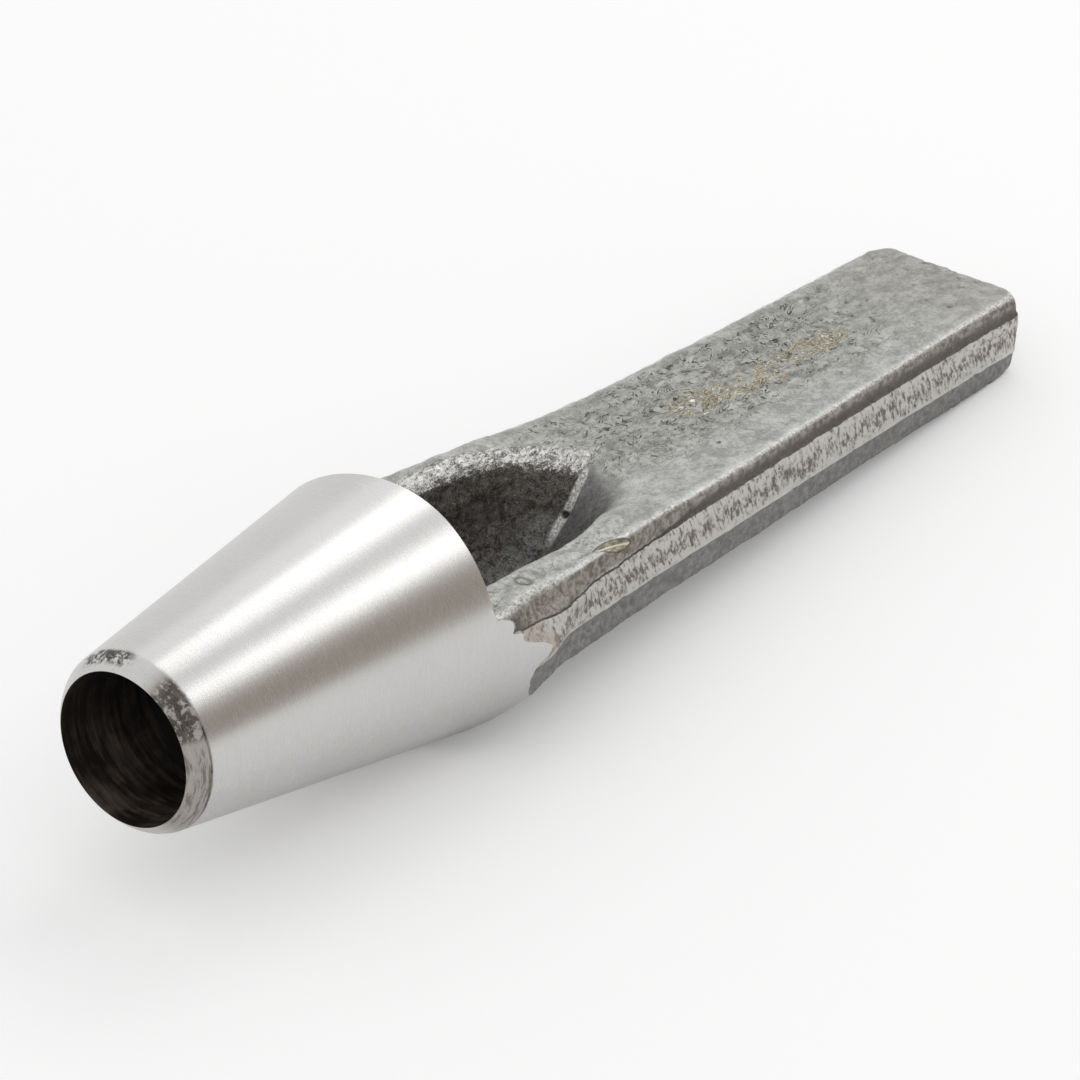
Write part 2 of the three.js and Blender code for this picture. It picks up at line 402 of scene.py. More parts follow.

# %% [markdown]
# ## The forging
#
# The shank came out of a pair of dies. Its section changes smoothly along the bore: a rounded
# keel under the pocket, a short drafted side, the flash band where the dies met, a groove above
# it, which the material darkens with painted shade, and the rounded crest of the rail. One
# function gives that section at any station.
#
# No forging is quite even. The far rail of this one stands higher than the near one, and the
# trimmed edge of the flash wanders, so the section takes both from small functions.

# %% Forms that change along the forging
FAR_RAIL_LIFT = 0.7
FAR_RAIL_STATION = 62.0
FAR_RAIL_SPREAD = 18.0
NEAR_RAIL_DROP = 0.8
NEAR_RAIL_STATION = 54.0
NEAR_RAIL_SPREAD = 12.0
FAR_RAIL_ACROSS = (3.0, 10.0)
NEAR_RAIL_ACROSS = (8.0, 12.5)
TRIM_WANDER = 0.13
TRIM_SIZE = 2.2
TRIM_FALL = 0.7
TRIM_OCTAVES = 4
TRIM_SIDE_STEP = 3.0
TRIM_EDGE_SHARE = 1.3
TRIM_EDGE_LEVEL = 1.0
TRIM_FACE_SHARE = 0.6
TRIM_FACE_LEVEL = 7.0
BAND_RISE = 0.85
BAND_RISE_RANGE = (44.0, 53.0)
BAND_DIP = 0.3
BAND_DIP_STATION = 60.0
BAND_DIP_SPREAD = 6.0
UPPER_TUCK = 0.9
UPPER_TUCK_RANGE = (42.0, 49.0)
LOWER_TUCK = 0.75
LOWER_TUCK_RANGE = (44.0, 49.0)
BAND_BULGE = 0.65
BAND_BULGE_RANGE = (47.0, 54.0)
BAND_BULGE_SHARE = 0.4
GROOVE_WIDTH = (0.25, 0.42)
GROOVE_WIDENING = (64.0, 74.0)


def fade(x, start, runout):
    """One up to the start, zero from the run-out on."""
    return ramp(-x, -runout, -start)


def hump(x, middle, spread):
    """One at the middle, zero a spread away from it."""
    return np.cos(np.clip((x - middle) / spread, -1, 1) * math.pi / 2) ** 2


def end_round(x, radius):
    """Depth of the quarter round that drops a face into the striking end."""
    beyond = np.maximum(0.0, x - (OVERALL_LENGTH - radius))
    return radius - np.sqrt(np.maximum(0.0, radius ** 2 - beyond ** 2))


def along_share(x):
    return (x - NECK_STATION) / (OVERALL_LENGTH - NECK_STATION)


def half_width(x):
    widening = (NECK_HALF_WIDTH - END_HALF_WIDTH) * (1 - along_share(x)) ** TAPER_POWER
    return END_HALF_WIDTH + widening - end_round(x, BAND_CORNER_RADIUS)


def upper_half(x):
    """Half width at the upper edge of the flash band, flared into the head."""
    flare = FLARE_WIDTH * fade(x, FLARE_START, UPPER_FLARE_RUNOUT)
    return half_width(x) + flare - UPPER_TUCK * fade(x, *UPPER_TUCK_RANGE)


def lower_half(x):
    """Half width at the lower edge of the flash band."""
    flare = FLARE_WIDTH * fade(x, FLARE_START, LOWER_FLARE_RUNOUT)
    return half_width(x) + flare - LOWER_TUCK * fade(x, *LOWER_TUCK_RANGE)


def crest_half(x):
    """Half width at the foot of the rail, a groove's width inside the band."""
    narrow, wide = GROOVE_WIDTH
    groove = narrow + (wide - narrow) * ramp(x, *GROOVE_WIDENING)
    worn = end_round(x, CREST_CORNER_RADIUS) - end_round(x, BAND_CORNER_RADIUS)
    return upper_half(x) - groove - worn


def plain_top(x):
    return NECK_TOP + (END_TOP - NECK_TOP) * along_share(x)


def rail_top(x):
    return plain_top(x) + RAIL_RISE * fade(x, HEAD_LENGTH, RAIL_RUNOUT) - end_round(x, END_TOP_RADIUS)


def rail_change(x, y):
    """What the far rail gains and the near rail loses against an even forging."""
    far = FAR_RAIL_LIFT * hump(x, FAR_RAIL_STATION, FAR_RAIL_SPREAD) * ramp(y, *FAR_RAIL_ACROSS)
    near = NEAR_RAIL_DROP * hump(x, NEAR_RAIL_STATION, NEAR_RAIL_SPREAD) * ramp(-y, *NEAR_RAIL_ACROSS)
    return far - near


def underside(x):
    return NECK_BOTTOM + (END_BOTTOM - NECK_BOTTOM) * along_share(x) + end_round(x, END_BOTTOM_RADIUS)


def keel_height(x):
    t = np.clip((x - HEAD_LENGTH) / (KEEL_RUNOUT - HEAD_LENGTH), 0, 1)
    heights = (-HEAD_BACK_RADIUS, -KEEL_FRONT_DEPTH, -KEEL_REAR_DEPTH, underside(KEEL_RUNOUT))
    weights = ((1 - t) ** 3, 3 * t * (1 - t) ** 2, 3 * t * t * (1 - t), t ** 3)
    curve = sum(h * w for h, w in zip(heights, weights))
    return np.where(np.asarray(x) >= KEEL_RUNOUT, underside(x), curve)


def trim_wander(x, side, level):
    """How far the shears strayed at a station. Each side and level strays in its own way."""
    spot = Vector((x / TRIM_SIZE, side * TRIM_SIDE_STEP, level))
    return TRIM_WANDER * noise.fractal(spot, TRIM_FALL, GRAIN_STEP, TRIM_OCTAVES)


def band_top(x, side):
    """Height of the trimmed edge, which rises towards the head and wanders."""
    rise = BAND_RISE * fade(x, *BAND_RISE_RANGE) - BAND_DIP * hump(x, BAND_DIP_STATION, BAND_DIP_SPREAD)
    return BAND_TOP + rise + TRIM_EDGE_SHARE * trim_wander(x, side, TRIM_EDGE_LEVEL)


def crest_radius(x, side):
    """Roundness of the rail's crest: large at the head, small along the shank."""
    plain, at_head = NEAR_CREST_RADII if side < 0 else FAR_CREST_RADII
    worn = WORN_CREST * ramp(x, OVERALL_LENGTH - WORN_LENGTH, OVERALL_LENGTH)
    return plain + (at_head - plain) * fade(x, FLARE_START, UPPER_FLARE_RUNOUT) + worn


def crest_foot(x, side):
    """Where the rail's flank ends and its crest begins. The near flank leans back at the head."""
    if side > 0:
        return crest_half(x)
    start, full = NEAR_DRAFT_RANGE
    draft = NEAR_FLANK_DRAFT * ramp(x, start, full) * fade(x, full, UPPER_FLARE_RUNOUT)
    return crest_half(x) - draft


def lower_radius(x):
    """The lower edge is crisp, but worn round over the last millimetres."""
    share = np.clip((x - OVERALL_LENGTH) / LOWER_CORNER_LENGTH + 1, 0, 1)
    return LOWER_EDGE_RADIUS + LOWER_CORNER_RADIUS * (1 - math.sqrt(1 - share ** 2))


last_flat = OVERALL_LENGTH - WORN_LENGTH
print("top at the neck %.2f, at the end %.2f" % (rail_top(NECK_STATION), rail_top(last_flat)))

# %% The section of the forging at one station
KEEL_POINTS = 9
CORNER_POINTS = 6
TOP_POINTS = 9
LEAST_DRAFT_HEIGHT = 0.2
LEAST_FLANK_HEIGHT = 0.3
DRAFT_HOLLOW = 0.05
LOWER_LIP_UNDER = (0.6, 0.12)
LOWER_LIP_OVER = (0.5, 0.1)
UPPER_LIP = (0.06, 0.02)
GROOVE_FOOT = (0.04, 0.12)
BAND_SHARES = (0.2, 0.4, 0.6, 0.8)
BAND_BULGE_SPREAD = 0.5
CREST_FOOT_SHARE = 0.35


def half_section(x, side):
    """Points from the keel out and up to the middle of the top; side is 1 for far, -1 for near."""
    half, upper, lower, foot = half_width(x), upper_half(x), lower_half(x), crest_half(x)
    edge_half = half + (lower - half) * LOWER_EDGE_FLARE_SHARE - LOWER_DRAFT
    edge_height = underside(x) - LOWER_EDGE_DROP * fade(x, HEAD_LENGTH, LOWER_FLARE_RUNOUT)
    round_low = min(lower_radius(x), BAND_BOTTOM - LEAST_DRAFT_HEIGHT - edge_height)
    keel_half = edge_half - round_low
    top = rail_top(x)
    trimmed = band_top(x, side)
    crest = min(crest_radius(x, side), top - trimmed - LEAST_FLANK_HEIGHT)
    bulge = BAND_BULGE * fade(x, *BAND_BULGE_RANGE)
    stand_out = -TRIM_FACE_SHARE * abs(trim_wander(x, side, TRIM_FACE_LEVEL))
    points = []
    for i in range(KEEL_POINTS):
        share = i / KEEL_POINTS
        keel = keel_height(x)
        points.append((keel_half * share, keel + (edge_height - keel) * share ** 2))
    for i in range(CORNER_POINTS):
        turn = i / (CORNER_POINTS - 1) * math.pi / 2
        y = keel_half + round_low * math.sin(turn)
        points.append((y, edge_height + round_low * (1 - math.cos(turn))))
    points.append(((edge_half + lower) / 2 - DRAFT_HOLLOW, (points[-1][1] + BAND_BOTTOM) / 2))
    points.append((lower - LOWER_DRAFT * LOWER_LIP_UNDER[0], BAND_BOTTOM - LOWER_LIP_UNDER[1]))
    points.append((lower + stand_out * LOWER_LIP_OVER[0], BAND_BOTTOM + LOWER_LIP_OVER[1]))
    for share in BAND_SHARES:
        width = lower + (upper - lower) * share + stand_out * (1 + share) / 2
        width += bulge * hump(share, BAND_BULGE_SHARE, BAND_BULGE_SPREAD)
        points.append((width, BAND_BOTTOM + (trimmed - BAND_BOTTOM) * share))
    points.append((upper + stand_out, trimmed - BAND_BREAK))
    points.append((upper + stand_out - UPPER_LIP[0], trimmed - UPPER_LIP[1]))
    points.append((foot + GROOVE_FOOT[0], trimmed + GROOVE_FOOT[1]))
    for i in range(CORNER_POINTS):
        turn = i / (CORNER_POINTS - 1) * math.pi / 2
        y = crest_foot(x, side) - crest * (1 - math.cos(turn))
        share = CREST_FOOT_SHARE + (1 - CREST_FOOT_SHARE) * i / (CORNER_POINTS - 1)
        points.append((y, top - crest * (1 - math.sin(turn)) + share * rail_change(x, side * y)))
    crest_end = points[-1][0]
    for i in range(1, TOP_POINTS + 1):
        y = crest_end * (1 - i / TOP_POINTS)
        points.append((y, top + rail_change(x, side * y)))
    return [(side * y, z) for y, z in points]


def forging_section(x):
    """The whole section as one ring, from the keel over the far side and back."""
    return half_section(x, 1) + half_section(x, -1)[-2:0:-1]


print("points round the section:", len(forging_section(60)))

# %% [markdown]
# ### Lofting by extrusion
#
# A ring of edges is made at the first station. Extruding it and setting each new vertex on the
# next section grows the skin step by step, which keeps the mesh one closed sheet of quads. The
# same helper makes the forging and the cutter that sinks the pocket.

# %% Loft a closed body through stations


def loft(name, stations, section):
    body = bmesh.new()
    ring = [body.verts.new((stations[0], y, z)) for y, z in section(stations[0])]
    loop = [body.edges.new(pair) for pair in zip(ring, ring[1:] + ring[:1])]
    bmesh.ops.contextual_create(body, geom=loop)
    for x in stations[1:]:
        grown = bmesh.ops.extrude_edge_only(body, edges=loop)["geom"]
        fresh = {v for v in grown if isinstance(v, bmesh.types.BMVert)}
        place = {vert: index for index, vert in enumerate(ring)}
        following = [None] * len(ring)
        for vert in fresh:
            source = next(e.other_vert(vert) for e in vert.link_edges if e.other_vert(vert) in place)
            following[place[source]] = vert
        for vert, (y, z) in zip(following, section(x)):
            vert.co = (x, y, z)
        ring = following
        loop = [e for e in grown if isinstance(e, bmesh.types.BMEdge)
                and all(v in fresh for v in e.verts)]
    bmesh.ops.contextual_create(body, geom=loop)
    bmesh.ops.recalc_face_normals(body, faces=body.faces)
    return mesh_from(body, name)


def steps(start, stop, pitch):
    count = max(1, round((stop - start) / pitch))
    return [start + (stop - start) * i / count for i in range(count)]


FORGING_START = 36.0
FORGING_PITCH = 0.7
END_REACH = 3.0
END_STEPS = 12
round_start = OVERALL_LENGTH - END_REACH
end_stations = [round_start + END_REACH * math.sin(i / END_STEPS * math.pi / 2)
                for i in range(END_STEPS + 1)]
forging_stations = steps(FORGING_START, round_start, FORGING_PITCH) + end_stations
forging_mesh = loft("forging", forging_stations, forging_section)
print("forging blank:", len(forging_mesh.polygons), "faces over", len(forging_stations), "stations")

# %% [markdown]
# ### The pocket's cutter
#
# The pocket is a trough as wide as the bore. Behind it the walls close to a pointed nose, whose
# two sides meet in a valley that climbs as a ramp. The far edge is worn round; the near edge
# keeps a narrow ledge, left by the die.

# %% Shape the pocket
NOSE_VEE_START = 60.0
NOSE_VEE_END = 69.0
NOSE_VEE_SHARE = 0.8
VALLEY_TIP_OFFSET = 1.3
VALLEY_BENDS = ((66.0, 1.9), (68.0, 1.35), (70.5, 0.95), (72.5, 1.05), (74.5, 1.6))
WALL_POINTS = 18
FAR_EDGE_SHARES = ((0.0, 2.7), (0.35, 1.6), (0.95, 0.75), (1.8, 0.2), (3.0, -0.15))
NEAR_EDGE_SHARES = ((0.0, 0.6), (0.06, 0.32), (0.5, 0.26), (0.58, 0.02), (1.6, -0.8))
SOFT_EDGE_SHARES = ((0.0, 1.9), (0.8, 1.1), (1.9, 0.45), (3.2, 0.08), (4.6, -0.3))
SOFT_EDGE_START = 62.0
SOFT_EDGE_END = 71.0
FAR_SOFT_EDGE_SHARE = 0.35
BOTTOM_FIT = 3
EDGE_FIT = 2
CUT_OVERRUN = 4.0
LEAST_OVERRUN = 0.01
NOSE_LEAD = 8.0
TROUGH_PITCH = 0.6
RAMP_PITCH = 0.3
TIP_LAND = 0.06


def pocket_width_share(x):
    nose = np.clip((x - NOSE_START) / (NOSE_TIP - NOSE_START), 0, 1)
    return (1 - nose ** 2) ** NOSE_POWER


def pocket_rim(x):
    """Half width of the pocket at its rim."""
    return pocket_width_share(x) * POCKET_HALF_WIDTH


def nose_shift(x):
    """How far the nose leans to the far side."""
    return VALLEY_TIP_OFFSET * ramp(x, NOSE_START, NOSE_TIP)


def pocket_floor(x):
    rising = (x - RAMP_FOOT) * math.tan(RAMP_ANGLE) - TROUGH_RADIUS
    top = rail_top(x)
    crested = (rising + top - np.hypot(rising - top, RAMP_CREST_BLEND)) / 2
    blended = (crested - TROUGH_RADIUS + np.hypot(crested + TROUGH_RADIUS, RAMP_FOOT_BLEND)) / 2
    return np.where(np.asarray(x) < RAMP_FOOT, -TROUGH_RADIUS, blended)


def vee_share(x):
    return ramp(x, NOSE_VEE_START, NOSE_VEE_END) * NOSE_VEE_SHARE


def valley_line(x):
    """How far the bottom of the nose lies to the far side. It bends a little on its way down."""
    stations, offsets = zip(*VALLEY_BENDS)
    return np.interp(x, stations, offsets) * ramp(x, NOSE_VEE_START, NOSE_VEE_END)


def half_pocket(x, side):
    top = rail_top(x)
    floor = pocket_floor(x)
    width = pocket_width_share(x)
    bottom = valley_line(x) * min(1.0, width * BOTTOM_FIT) * side
    tip = nose_shift(x) * side
    rim = pocket_rim(x) + tip
    points = []
    for i in range(WALL_POINTS + 1):
        turn = i / WALL_POINTS * math.pi / 2
        bowl = (1 - math.cos(turn)) * TROUGH_RADIUS / (TROUGH_RADIUS + top)
        straight = math.sin(turn) * TROUGH_RADIUS / (TROUGH_RADIUS + top)
        share = bowl + (straight - bowl) * vee_share(x)
        wall = width * TROUGH_RADIUS + tip - bottom
        points.append((bottom + wall * math.sin(turn), floor + (top - floor) * share))
    soft = ramp(x, SOFT_EDGE_START, SOFT_EDGE_END)
    own = FAR_EDGE_SHARES if side > 0 else NEAR_EDGE_SHARES
    fit = min(1.0, width * EDGE_FIT)
    lift = rail_change(x, side * rim)
    for (out, down), (soft_out, soft_down) in zip(own, SOFT_EDGE_SHARES):
        softening = soft if side < 0 else soft * FAR_SOFT_EDGE_SHARE
        out += (soft_out - out) * softening
        down += (soft_down - down) * softening
        points.append((rim + out * fit, top + lift - down * fit))
    points.append((rim + CUT_OVERRUN * fit + LEAST_OVERRUN, top + CUT_OVERRUN))
    return [(side * y, z) for y, z in points]


def pocket_section(x):
    far = half_pocket(x, 1)
    near = half_pocket(x, -1)
    return far + near[:0:-1]


trough_stations = steps(NOSE_START - NOSE_LEAD, RAMP_FOOT, TROUGH_PITCH)
ramp_stations = steps(RAMP_FOOT, NOSE_TIP, RAMP_PITCH) + [NOSE_TIP - TIP_LAND]
pocket_stations = [FORGING_START - CUT_OVERRUN] + trough_stations + ramp_stations
cutter_mesh = loft("pocket_cutter", pocket_stations, pocket_section)
print("pocket cutter:", len(cutter_mesh.polygons), "faces")

# %% [markdown]
# ### One even skin
#
# The cutter is subtracted, and the result is remeshed into small even quads. Sculpting then has
# the same room everywhere, and the pocket's edges come out softly rounded, as forged steel is.

# %% Sink the pocket and remesh the skin
SKIN_SIZE = 0.31


def cut_with(piece, tool, operation, solver):
    """Gives a piece a boolean with a tool."""
    cut = piece.modifiers.new("cut", "BOOLEAN")
    cut.operation = operation
    cut.solver = solver
    cut.object = tool


def settle(piece, tool, name):
    """The mesh that a piece's modifiers make. The piece and its tool are removed."""
    evaluated = piece.evaluated_get(bpy.context.evaluated_depsgraph_get())
    mesh = bpy.data.meshes.new_from_object(evaluated)
    mesh.name = name
    for used in (piece, tool):
        bpy.data.objects.remove(used)
    return mesh


forging = new_piece("forging", forging_mesh)
cutter = new_piece("pocket_cutter", cutter_mesh)
cut_with(forging, cutter, "DIFFERENCE", "EXACT")
skin = forging.modifiers.new("skin", "REMESH")
skin.mode = "VOXEL"
skin.voxel_size = SKIN_SIZE
skin.use_smooth_shade = True
shank_mesh = settle(forging, cutter, "forged_shank_skin")
print("skin:", len(shank_mesh.vertices), "vertices")

# %% [markdown]
# ### Soft and crisp edges
#
# A boolean leaves every edge equally crisp. On the real forging the near side of the nose flows
# into the top without an edge, and the far edge is worn round. Both are softened by moving each
# vertex towards the mean of its neighbours, many times where the form is soft and not at all
# elsewhere.

# %% Soften the nose and the far edge
SOFT_PASSES = 60
NOSE_SOFT_RANGE = (64.5, 68.5, NOSE_TIP + 0.5, NOSE_TIP + 2.5)
NOSE_SOFT_HEIGHTS = (-2.5, 0.5)
NEAR_SOFT_OUT = 0.6
NEAR_SOFT_SPREAD = 2.6
FAR_SOFT_REACH = 2.0
FAR_SOFT_HEIGHTS = (0.0, 1.5)
FAR_SOFT_OUT = 1.2
FAR_SOFT_SPREAD = 1.6
FAR_SOFT_SHARE = 0.12
BLEND_SHARE = 0.7


def neighbour_mean(mesh, values):
    """The mean of each vertex's neighbours, for a number or a place per vertex."""
    edge = np.empty(len(mesh.edges) * 2, np.int64)
    mesh.edges.foreach_get("vertices", edge)
    a, b = edge.reshape(-1, 2).T
    count = np.bincount(edge, minlength=len(mesh.vertices))
    columns = values.reshape(len(count), -1).T
    total = [np.bincount(a, c[b], len(count)) + np.bincount(b, c[a], len(count)) for c in columns]
    return (np.array(total) / count).T.reshape(values.shape)


points = read_points(shank_mesh)
x, y, z = points.T
rim, tip = pocket_rim(x), nose_shift(x)
nose = window(x, *NOSE_SOFT_RANGE) * ramp(z, *NOSE_SOFT_HEIGHTS)
near_soft = nose * bell(y - tip + rim + NEAR_SOFT_OUT, NEAR_SOFT_SPREAD)
far_soft = (x < NOSE_TIP + FAR_SOFT_REACH) * ramp(z, *FAR_SOFT_HEIGHTS)
far_soft = far_soft * bell(y - tip - rim - FAR_SOFT_OUT, FAR_SOFT_SPREAD)
softness = BLEND_SHARE * np.maximum(near_soft, FAR_SOFT_SHARE * far_soft)[:, None]
for step in range(SOFT_PASSES):
    points = points + softness * (neighbour_mean(shank_mesh, points) - points)
write_points(shank_mesh, points)
print("softened vertices:", int((softness > 0.05).sum()))

# %% [markdown]
# ### Where is what on the skin
#
# Each region of the forging was made by something else: the dies pressed the top and the keel,
# a trimming tool cut the flash band, and the pocket kept most of its scale. The regions are
# found from the same sizes that made the section, and are kept as soft masks between 0 and 1.

# %% Find the regions
RIM_BEYOND = (1.8, 3.2)
NOSE_BORDER = (NOSE_TIP - 0.2, NOSE_TIP + 1.6)
WALL_SLOPES = (-0.4, -0.15)
FLOOR_BORDER = (-0.9, -0.6)
POCKET_DEPTHS = (0.2, 1.6)
SIDE_BORDER = (-1.3, -0.9)
FACE_SLOPES = (0.5, 0.85)
NEAR_WALL_OUT = (0.0, 0.8)
NEAR_WALL_RANGE = (61.0, 66.0)
FAR_EDGE_ACROSS = (0.6, 2.4)
FAR_EDGE_DEPTHS = (-0.1, 0.2, 0.9, 2.3)
HAZE_ACROSS = 2.4
HAZE_SPREAD = 1.6
HAZE_RANGE = (56.0, 62.0, 67.0, 70.5)
HAZE_HEIGHT = -2.5
POCKET_FLOOR_PAINTED_LIGHT = 0.6
POCKET_FLOOR_LIGHT_DEPTHS = (5.2, 8.0)

points, normals = read_points(shank_mesh), read_normals(shank_mesh)
x, y, z = points.T
top = rail_top(x) + rail_change(x, y)
rim, tip = pocket_rim(x), nose_shift(x)
inside = (1 - ramp(np.abs(y - tip) - rim, *RIM_BEYOND)) * (1 - ramp(x, *NOSE_BORDER))
inside *= ramp(normals[:, 2], *WALL_SLOPES) * ramp(z - pocket_floor(x), *FLOOR_BORDER)
pocket = inside * ramp(top - z, *POCKET_DEPTHS)
side = ramp(np.abs(y) - half_width(x), *SIDE_BORDER)
trim = np.array([height - band_top(station, math.copysign(1, across))
                 for station, across, height in points])
face = ramp(normals[:, 2], *FACE_SLOPES) * (1 - pocket) * (z > 0)
near_wall = ramp(valley_line(x) - y, *NEAR_WALL_OUT) * ramp(x, *NEAR_WALL_RANGE)
rough = pocket * (1 - near_wall)
far_edge = inside * ramp(y, *FAR_EDGE_ACROSS) * window(top - z, *FAR_EDGE_DEPTHS)
# Painted light: the pocket's deep floor and a hazy strip along its far side are made paler.
painted_haze = bell(y - HAZE_ACROSS, HAZE_SPREAD) * window(x, *HAZE_RANGE) * (z < HAZE_HEIGHT)
painted_floor_light = np.maximum(POCKET_FLOOR_PAINTED_LIGHT * ramp(-z, *POCKET_FLOOR_LIGHT_DEPTHS), painted_haze)
for name, mask in (("pocket", pocket), ("side", side), ("face", face), ("rough", rough)):
    print("%-7s covers %4.1f %% of the skin" % (name, mask.mean() * 100))

# %% [markdown]
# ### The skin of the forge
#
# Hot steel sheds scale, and the dies press the flakes into its surface. So the skin has slow
# waves, small lumps, shallow plates with sharp little ledges, and pits where a flake fell out.
# The plates come from cell noise: each cell stands at its own height.

# %% Waves, lumps, plates and pits
GROOVE_DEPTH = 0.12
GROOVE_OVER = 0.12
GROOVE_SPREAD = 0.2
GROOVE_END = 138.0
WAVE_SIZE = 11.0
WAVE_DEPTH = 0.12
WAVE_STRETCH = (2.0, 1.0, 1.0)
LUMP_SIZE = 2.6
LUMP_DEPTH = 0.085
PLATE_SIZE = 1.9
PLATE_DEPTH = 0.2
PLATE_LEVEL = 0.6
PLATE_EDGE = (0.0, 0.2)
PLATE_STRETCH = (1.5, 1.0, 1.0)
PLATE_SHIFT = (3.1, 7.7, 1.9)
PLATE_WARP = (0.7, 1.6)
PLATE_CELL = 9.7
PIT_SIZE = 2.1
PIT_DEPTH = 0.14
PIT_SHARE = 0.22
PIT_WALL = (0.08, 0.3)
PIT_SHIFT = (18.2, 4.6, 11.4)
PIT_WARP = (0.45, 2.3)
PIT_CELL = 5.3
FLAKY_START = (60.0, 84.0)
FLAKY_END = (114.0, 130.0)
FLAKY_ACROSS = (-7.5, -1.5)
FLAKY_BORDER = (-2.4, -0.8)
SMOOTH_NEAR_SIDE = (5.0, 8.0)


def cells_at(point, shift, warp):
    """Distances and centres of the cells round a point. The warp bends the cells' borders."""
    amount, fineness = warp
    spot = Vector(point) + Vector(shift)
    return noise.voronoi(spot + amount * noise.noise_vector(spot * fineness))


def plates(points):
    """Height of the plate under each point, and how far the point lies from the plate's edge."""
    heights, gaps = np.empty(len(points)), np.empty(len(points))
    for i, point in enumerate(points / (PLATE_SIZE * np.array(PLATE_STRETCH))):
        distances, centres = cells_at(point, PLATE_SHIFT, PLATE_WARP)
        heights[i] = noise.cell(centres[0] * PLATE_CELL)
        gaps[i] = distances[1] - distances[0]
    return heights, gaps


def pits(points):
    """One in the middle of a pit and zero outside. Only a share of the cells holds a pit."""
    depth = np.zeros(len(points))
    for i, point in enumerate(points / PIT_SIZE):
        distances, centres = cells_at(point, PIT_SHIFT, PIT_WARP)
        if noise.cell(centres[0] * PIT_CELL) < PIT_SHARE:
            depth[i] = 1 - ramp(distances[0], *PIT_WALL)
    return depth


plate_height, plate_gap = plates(points)
pit = pits(points)
flaky = face * ramp(x, *FLAKY_START) * (1 - 0.75 * ramp(x, *FLAKY_END))
flaky *= 0.15 + 0.85 * ramp(y, *FLAKY_ACROSS)
flaky *= 1 - 0.85 * ramp(np.abs(y) - half_width(x), *FLAKY_BORDER)
band = side * (trim < 0) * (z > BAND_BOTTOM)
pitted = (1 - band) * (1 - 0.8 * ramp(-y, *SMOOTH_NEAR_SIDE) * face) * (1 - near_wall * pocket)
lift = WAVE_DEPTH * grain(points, WAVE_SIZE, 1, 2, WAVE_STRETCH) * (1 - 0.6 * band)
lift += LUMP_DEPTH * grain(points, LUMP_SIZE, 2, 3) * (1 - 0.4 * band)
lift += PLATE_DEPTH * (plate_height - PLATE_LEVEL) * ramp(plate_gap, *PLATE_EDGE) * flaky
lift -= PIT_DEPTH * pit * pitted
lift -= GROOVE_DEPTH * bell(trim - GROOVE_OVER, GROOVE_SPREAD) * side * (x < GROOVE_END)
print("plates and pits: %.2f mm to %.2f mm" % (lift.min(), lift.max()))

# %% [markdown]
# ### The rough pocket and the valley
#
# The far wall of the pocket is the roughest place of the forging, and its upper edge is worn
# round and bright. The bottom of the nose is a light, torn strip with a nick across it.

# %% Roughen the pocket
POCKET_LUMP = 1.3
POCKET_DEPTH = 0.2
EDGE_LUMP = 0.8
EDGE_DEPTH = 0.14
VALLEY_HALF_WIDTH = 0.55
VALLEY_SPREAD = 0.5
VALLEY_NARROWING = (67.0, 70.5)
VALLEY_RANGE = (RAMP_FOOT, RAMP_FOOT + 5, NOSE_TIP - 1.6, NOSE_TIP)
VALLEY_STRETCH = (2.0, 0.7, 2.0)
VALLEY_DEPTH = 0.14
NICK_STATION = 69.9
NICK_HALF_LENGTH = 0.32
NICK_DEPTH = 0.3

strip = VALLEY_HALF_WIDTH + VALLEY_SPREAD * (1 - ramp(x, *VALLEY_NARROWING))
valley = bell(y - valley_line(x), strip) * pocket * window(x, *VALLEY_RANGE)
lift -= POCKET_DEPTH * np.abs(grain(points, POCKET_LUMP, 5, 4)) * rough * (1 - valley)
lift += EDGE_DEPTH * grain(points, EDGE_LUMP, 6, 3) * far_edge
lift += VALLEY_DEPTH * grain(points, EDGE_LUMP, 7, 3, VALLEY_STRETCH) * valley
nick = bell(x - NICK_STATION, NICK_HALF_LENGTH) * valley
lift -= NICK_DEPTH * nick
print("rough pocket covers %.1f %%" % (rough.mean() * 100))

# %% [markdown]
# ### Marks of use
#
# The near crest has a long dent like a lens, as a hammer's edge leaves, and the rail nearer to
# the head a small pressed ring. The crests are nicked all along, and the striking end is uneven.

# %% Dent, pressed ring and nicks
LENS_STATION = 60.3
LENS_OUT = 12.2
LENS_HEIGHT = 2.9
LENS_UNROLL = 0.6
LENS_HALF_LENGTH = 2.85
LENS_HALF_WIDTH = 0.72
LENS_TURN = 0.2
LENS_DEPTH = 0.2
LENS_POWER = 0.7
MARK_HEIGHT = 1.0
MARK_SIDE = -8.0
PRESSED_RING_PLACE = (46.8, -11.1)
PRESSED_RING_RADIUS = 0.75
PRESSED_RING_SPREAD = 0.28
PRESSED_RING_DEPTH = 0.13
PRESSED_RING_HEIGHT = 0.5
NICK_SIZE = 0.9
NICK_GRAIN = (0.1, 0.7)
EDGE_NICK_DEPTH = 0.08
END_WEAR_RANGE = (OVERALL_LENGTH - 2.5, OVERALL_LENGTH - 0.5)
END_WEAR_SIZE = 1.8
END_WEAR_DEPTH = 0.06
BOX_CLEARANCE = 0.005


def lens_place(x, y, z):
    """How far along and across the lens a place lies. It takes arrays, and sockets too."""
    along = (x - LENS_STATION) / LENS_HALF_LENGTH
    unrolled = 0 - y + (LENS_HEIGHT - z) * LENS_UNROLL
    across = (unrolled - LENS_OUT - (x - LENS_STATION) * LENS_TURN) / LENS_HALF_WIDTH
    return along, across


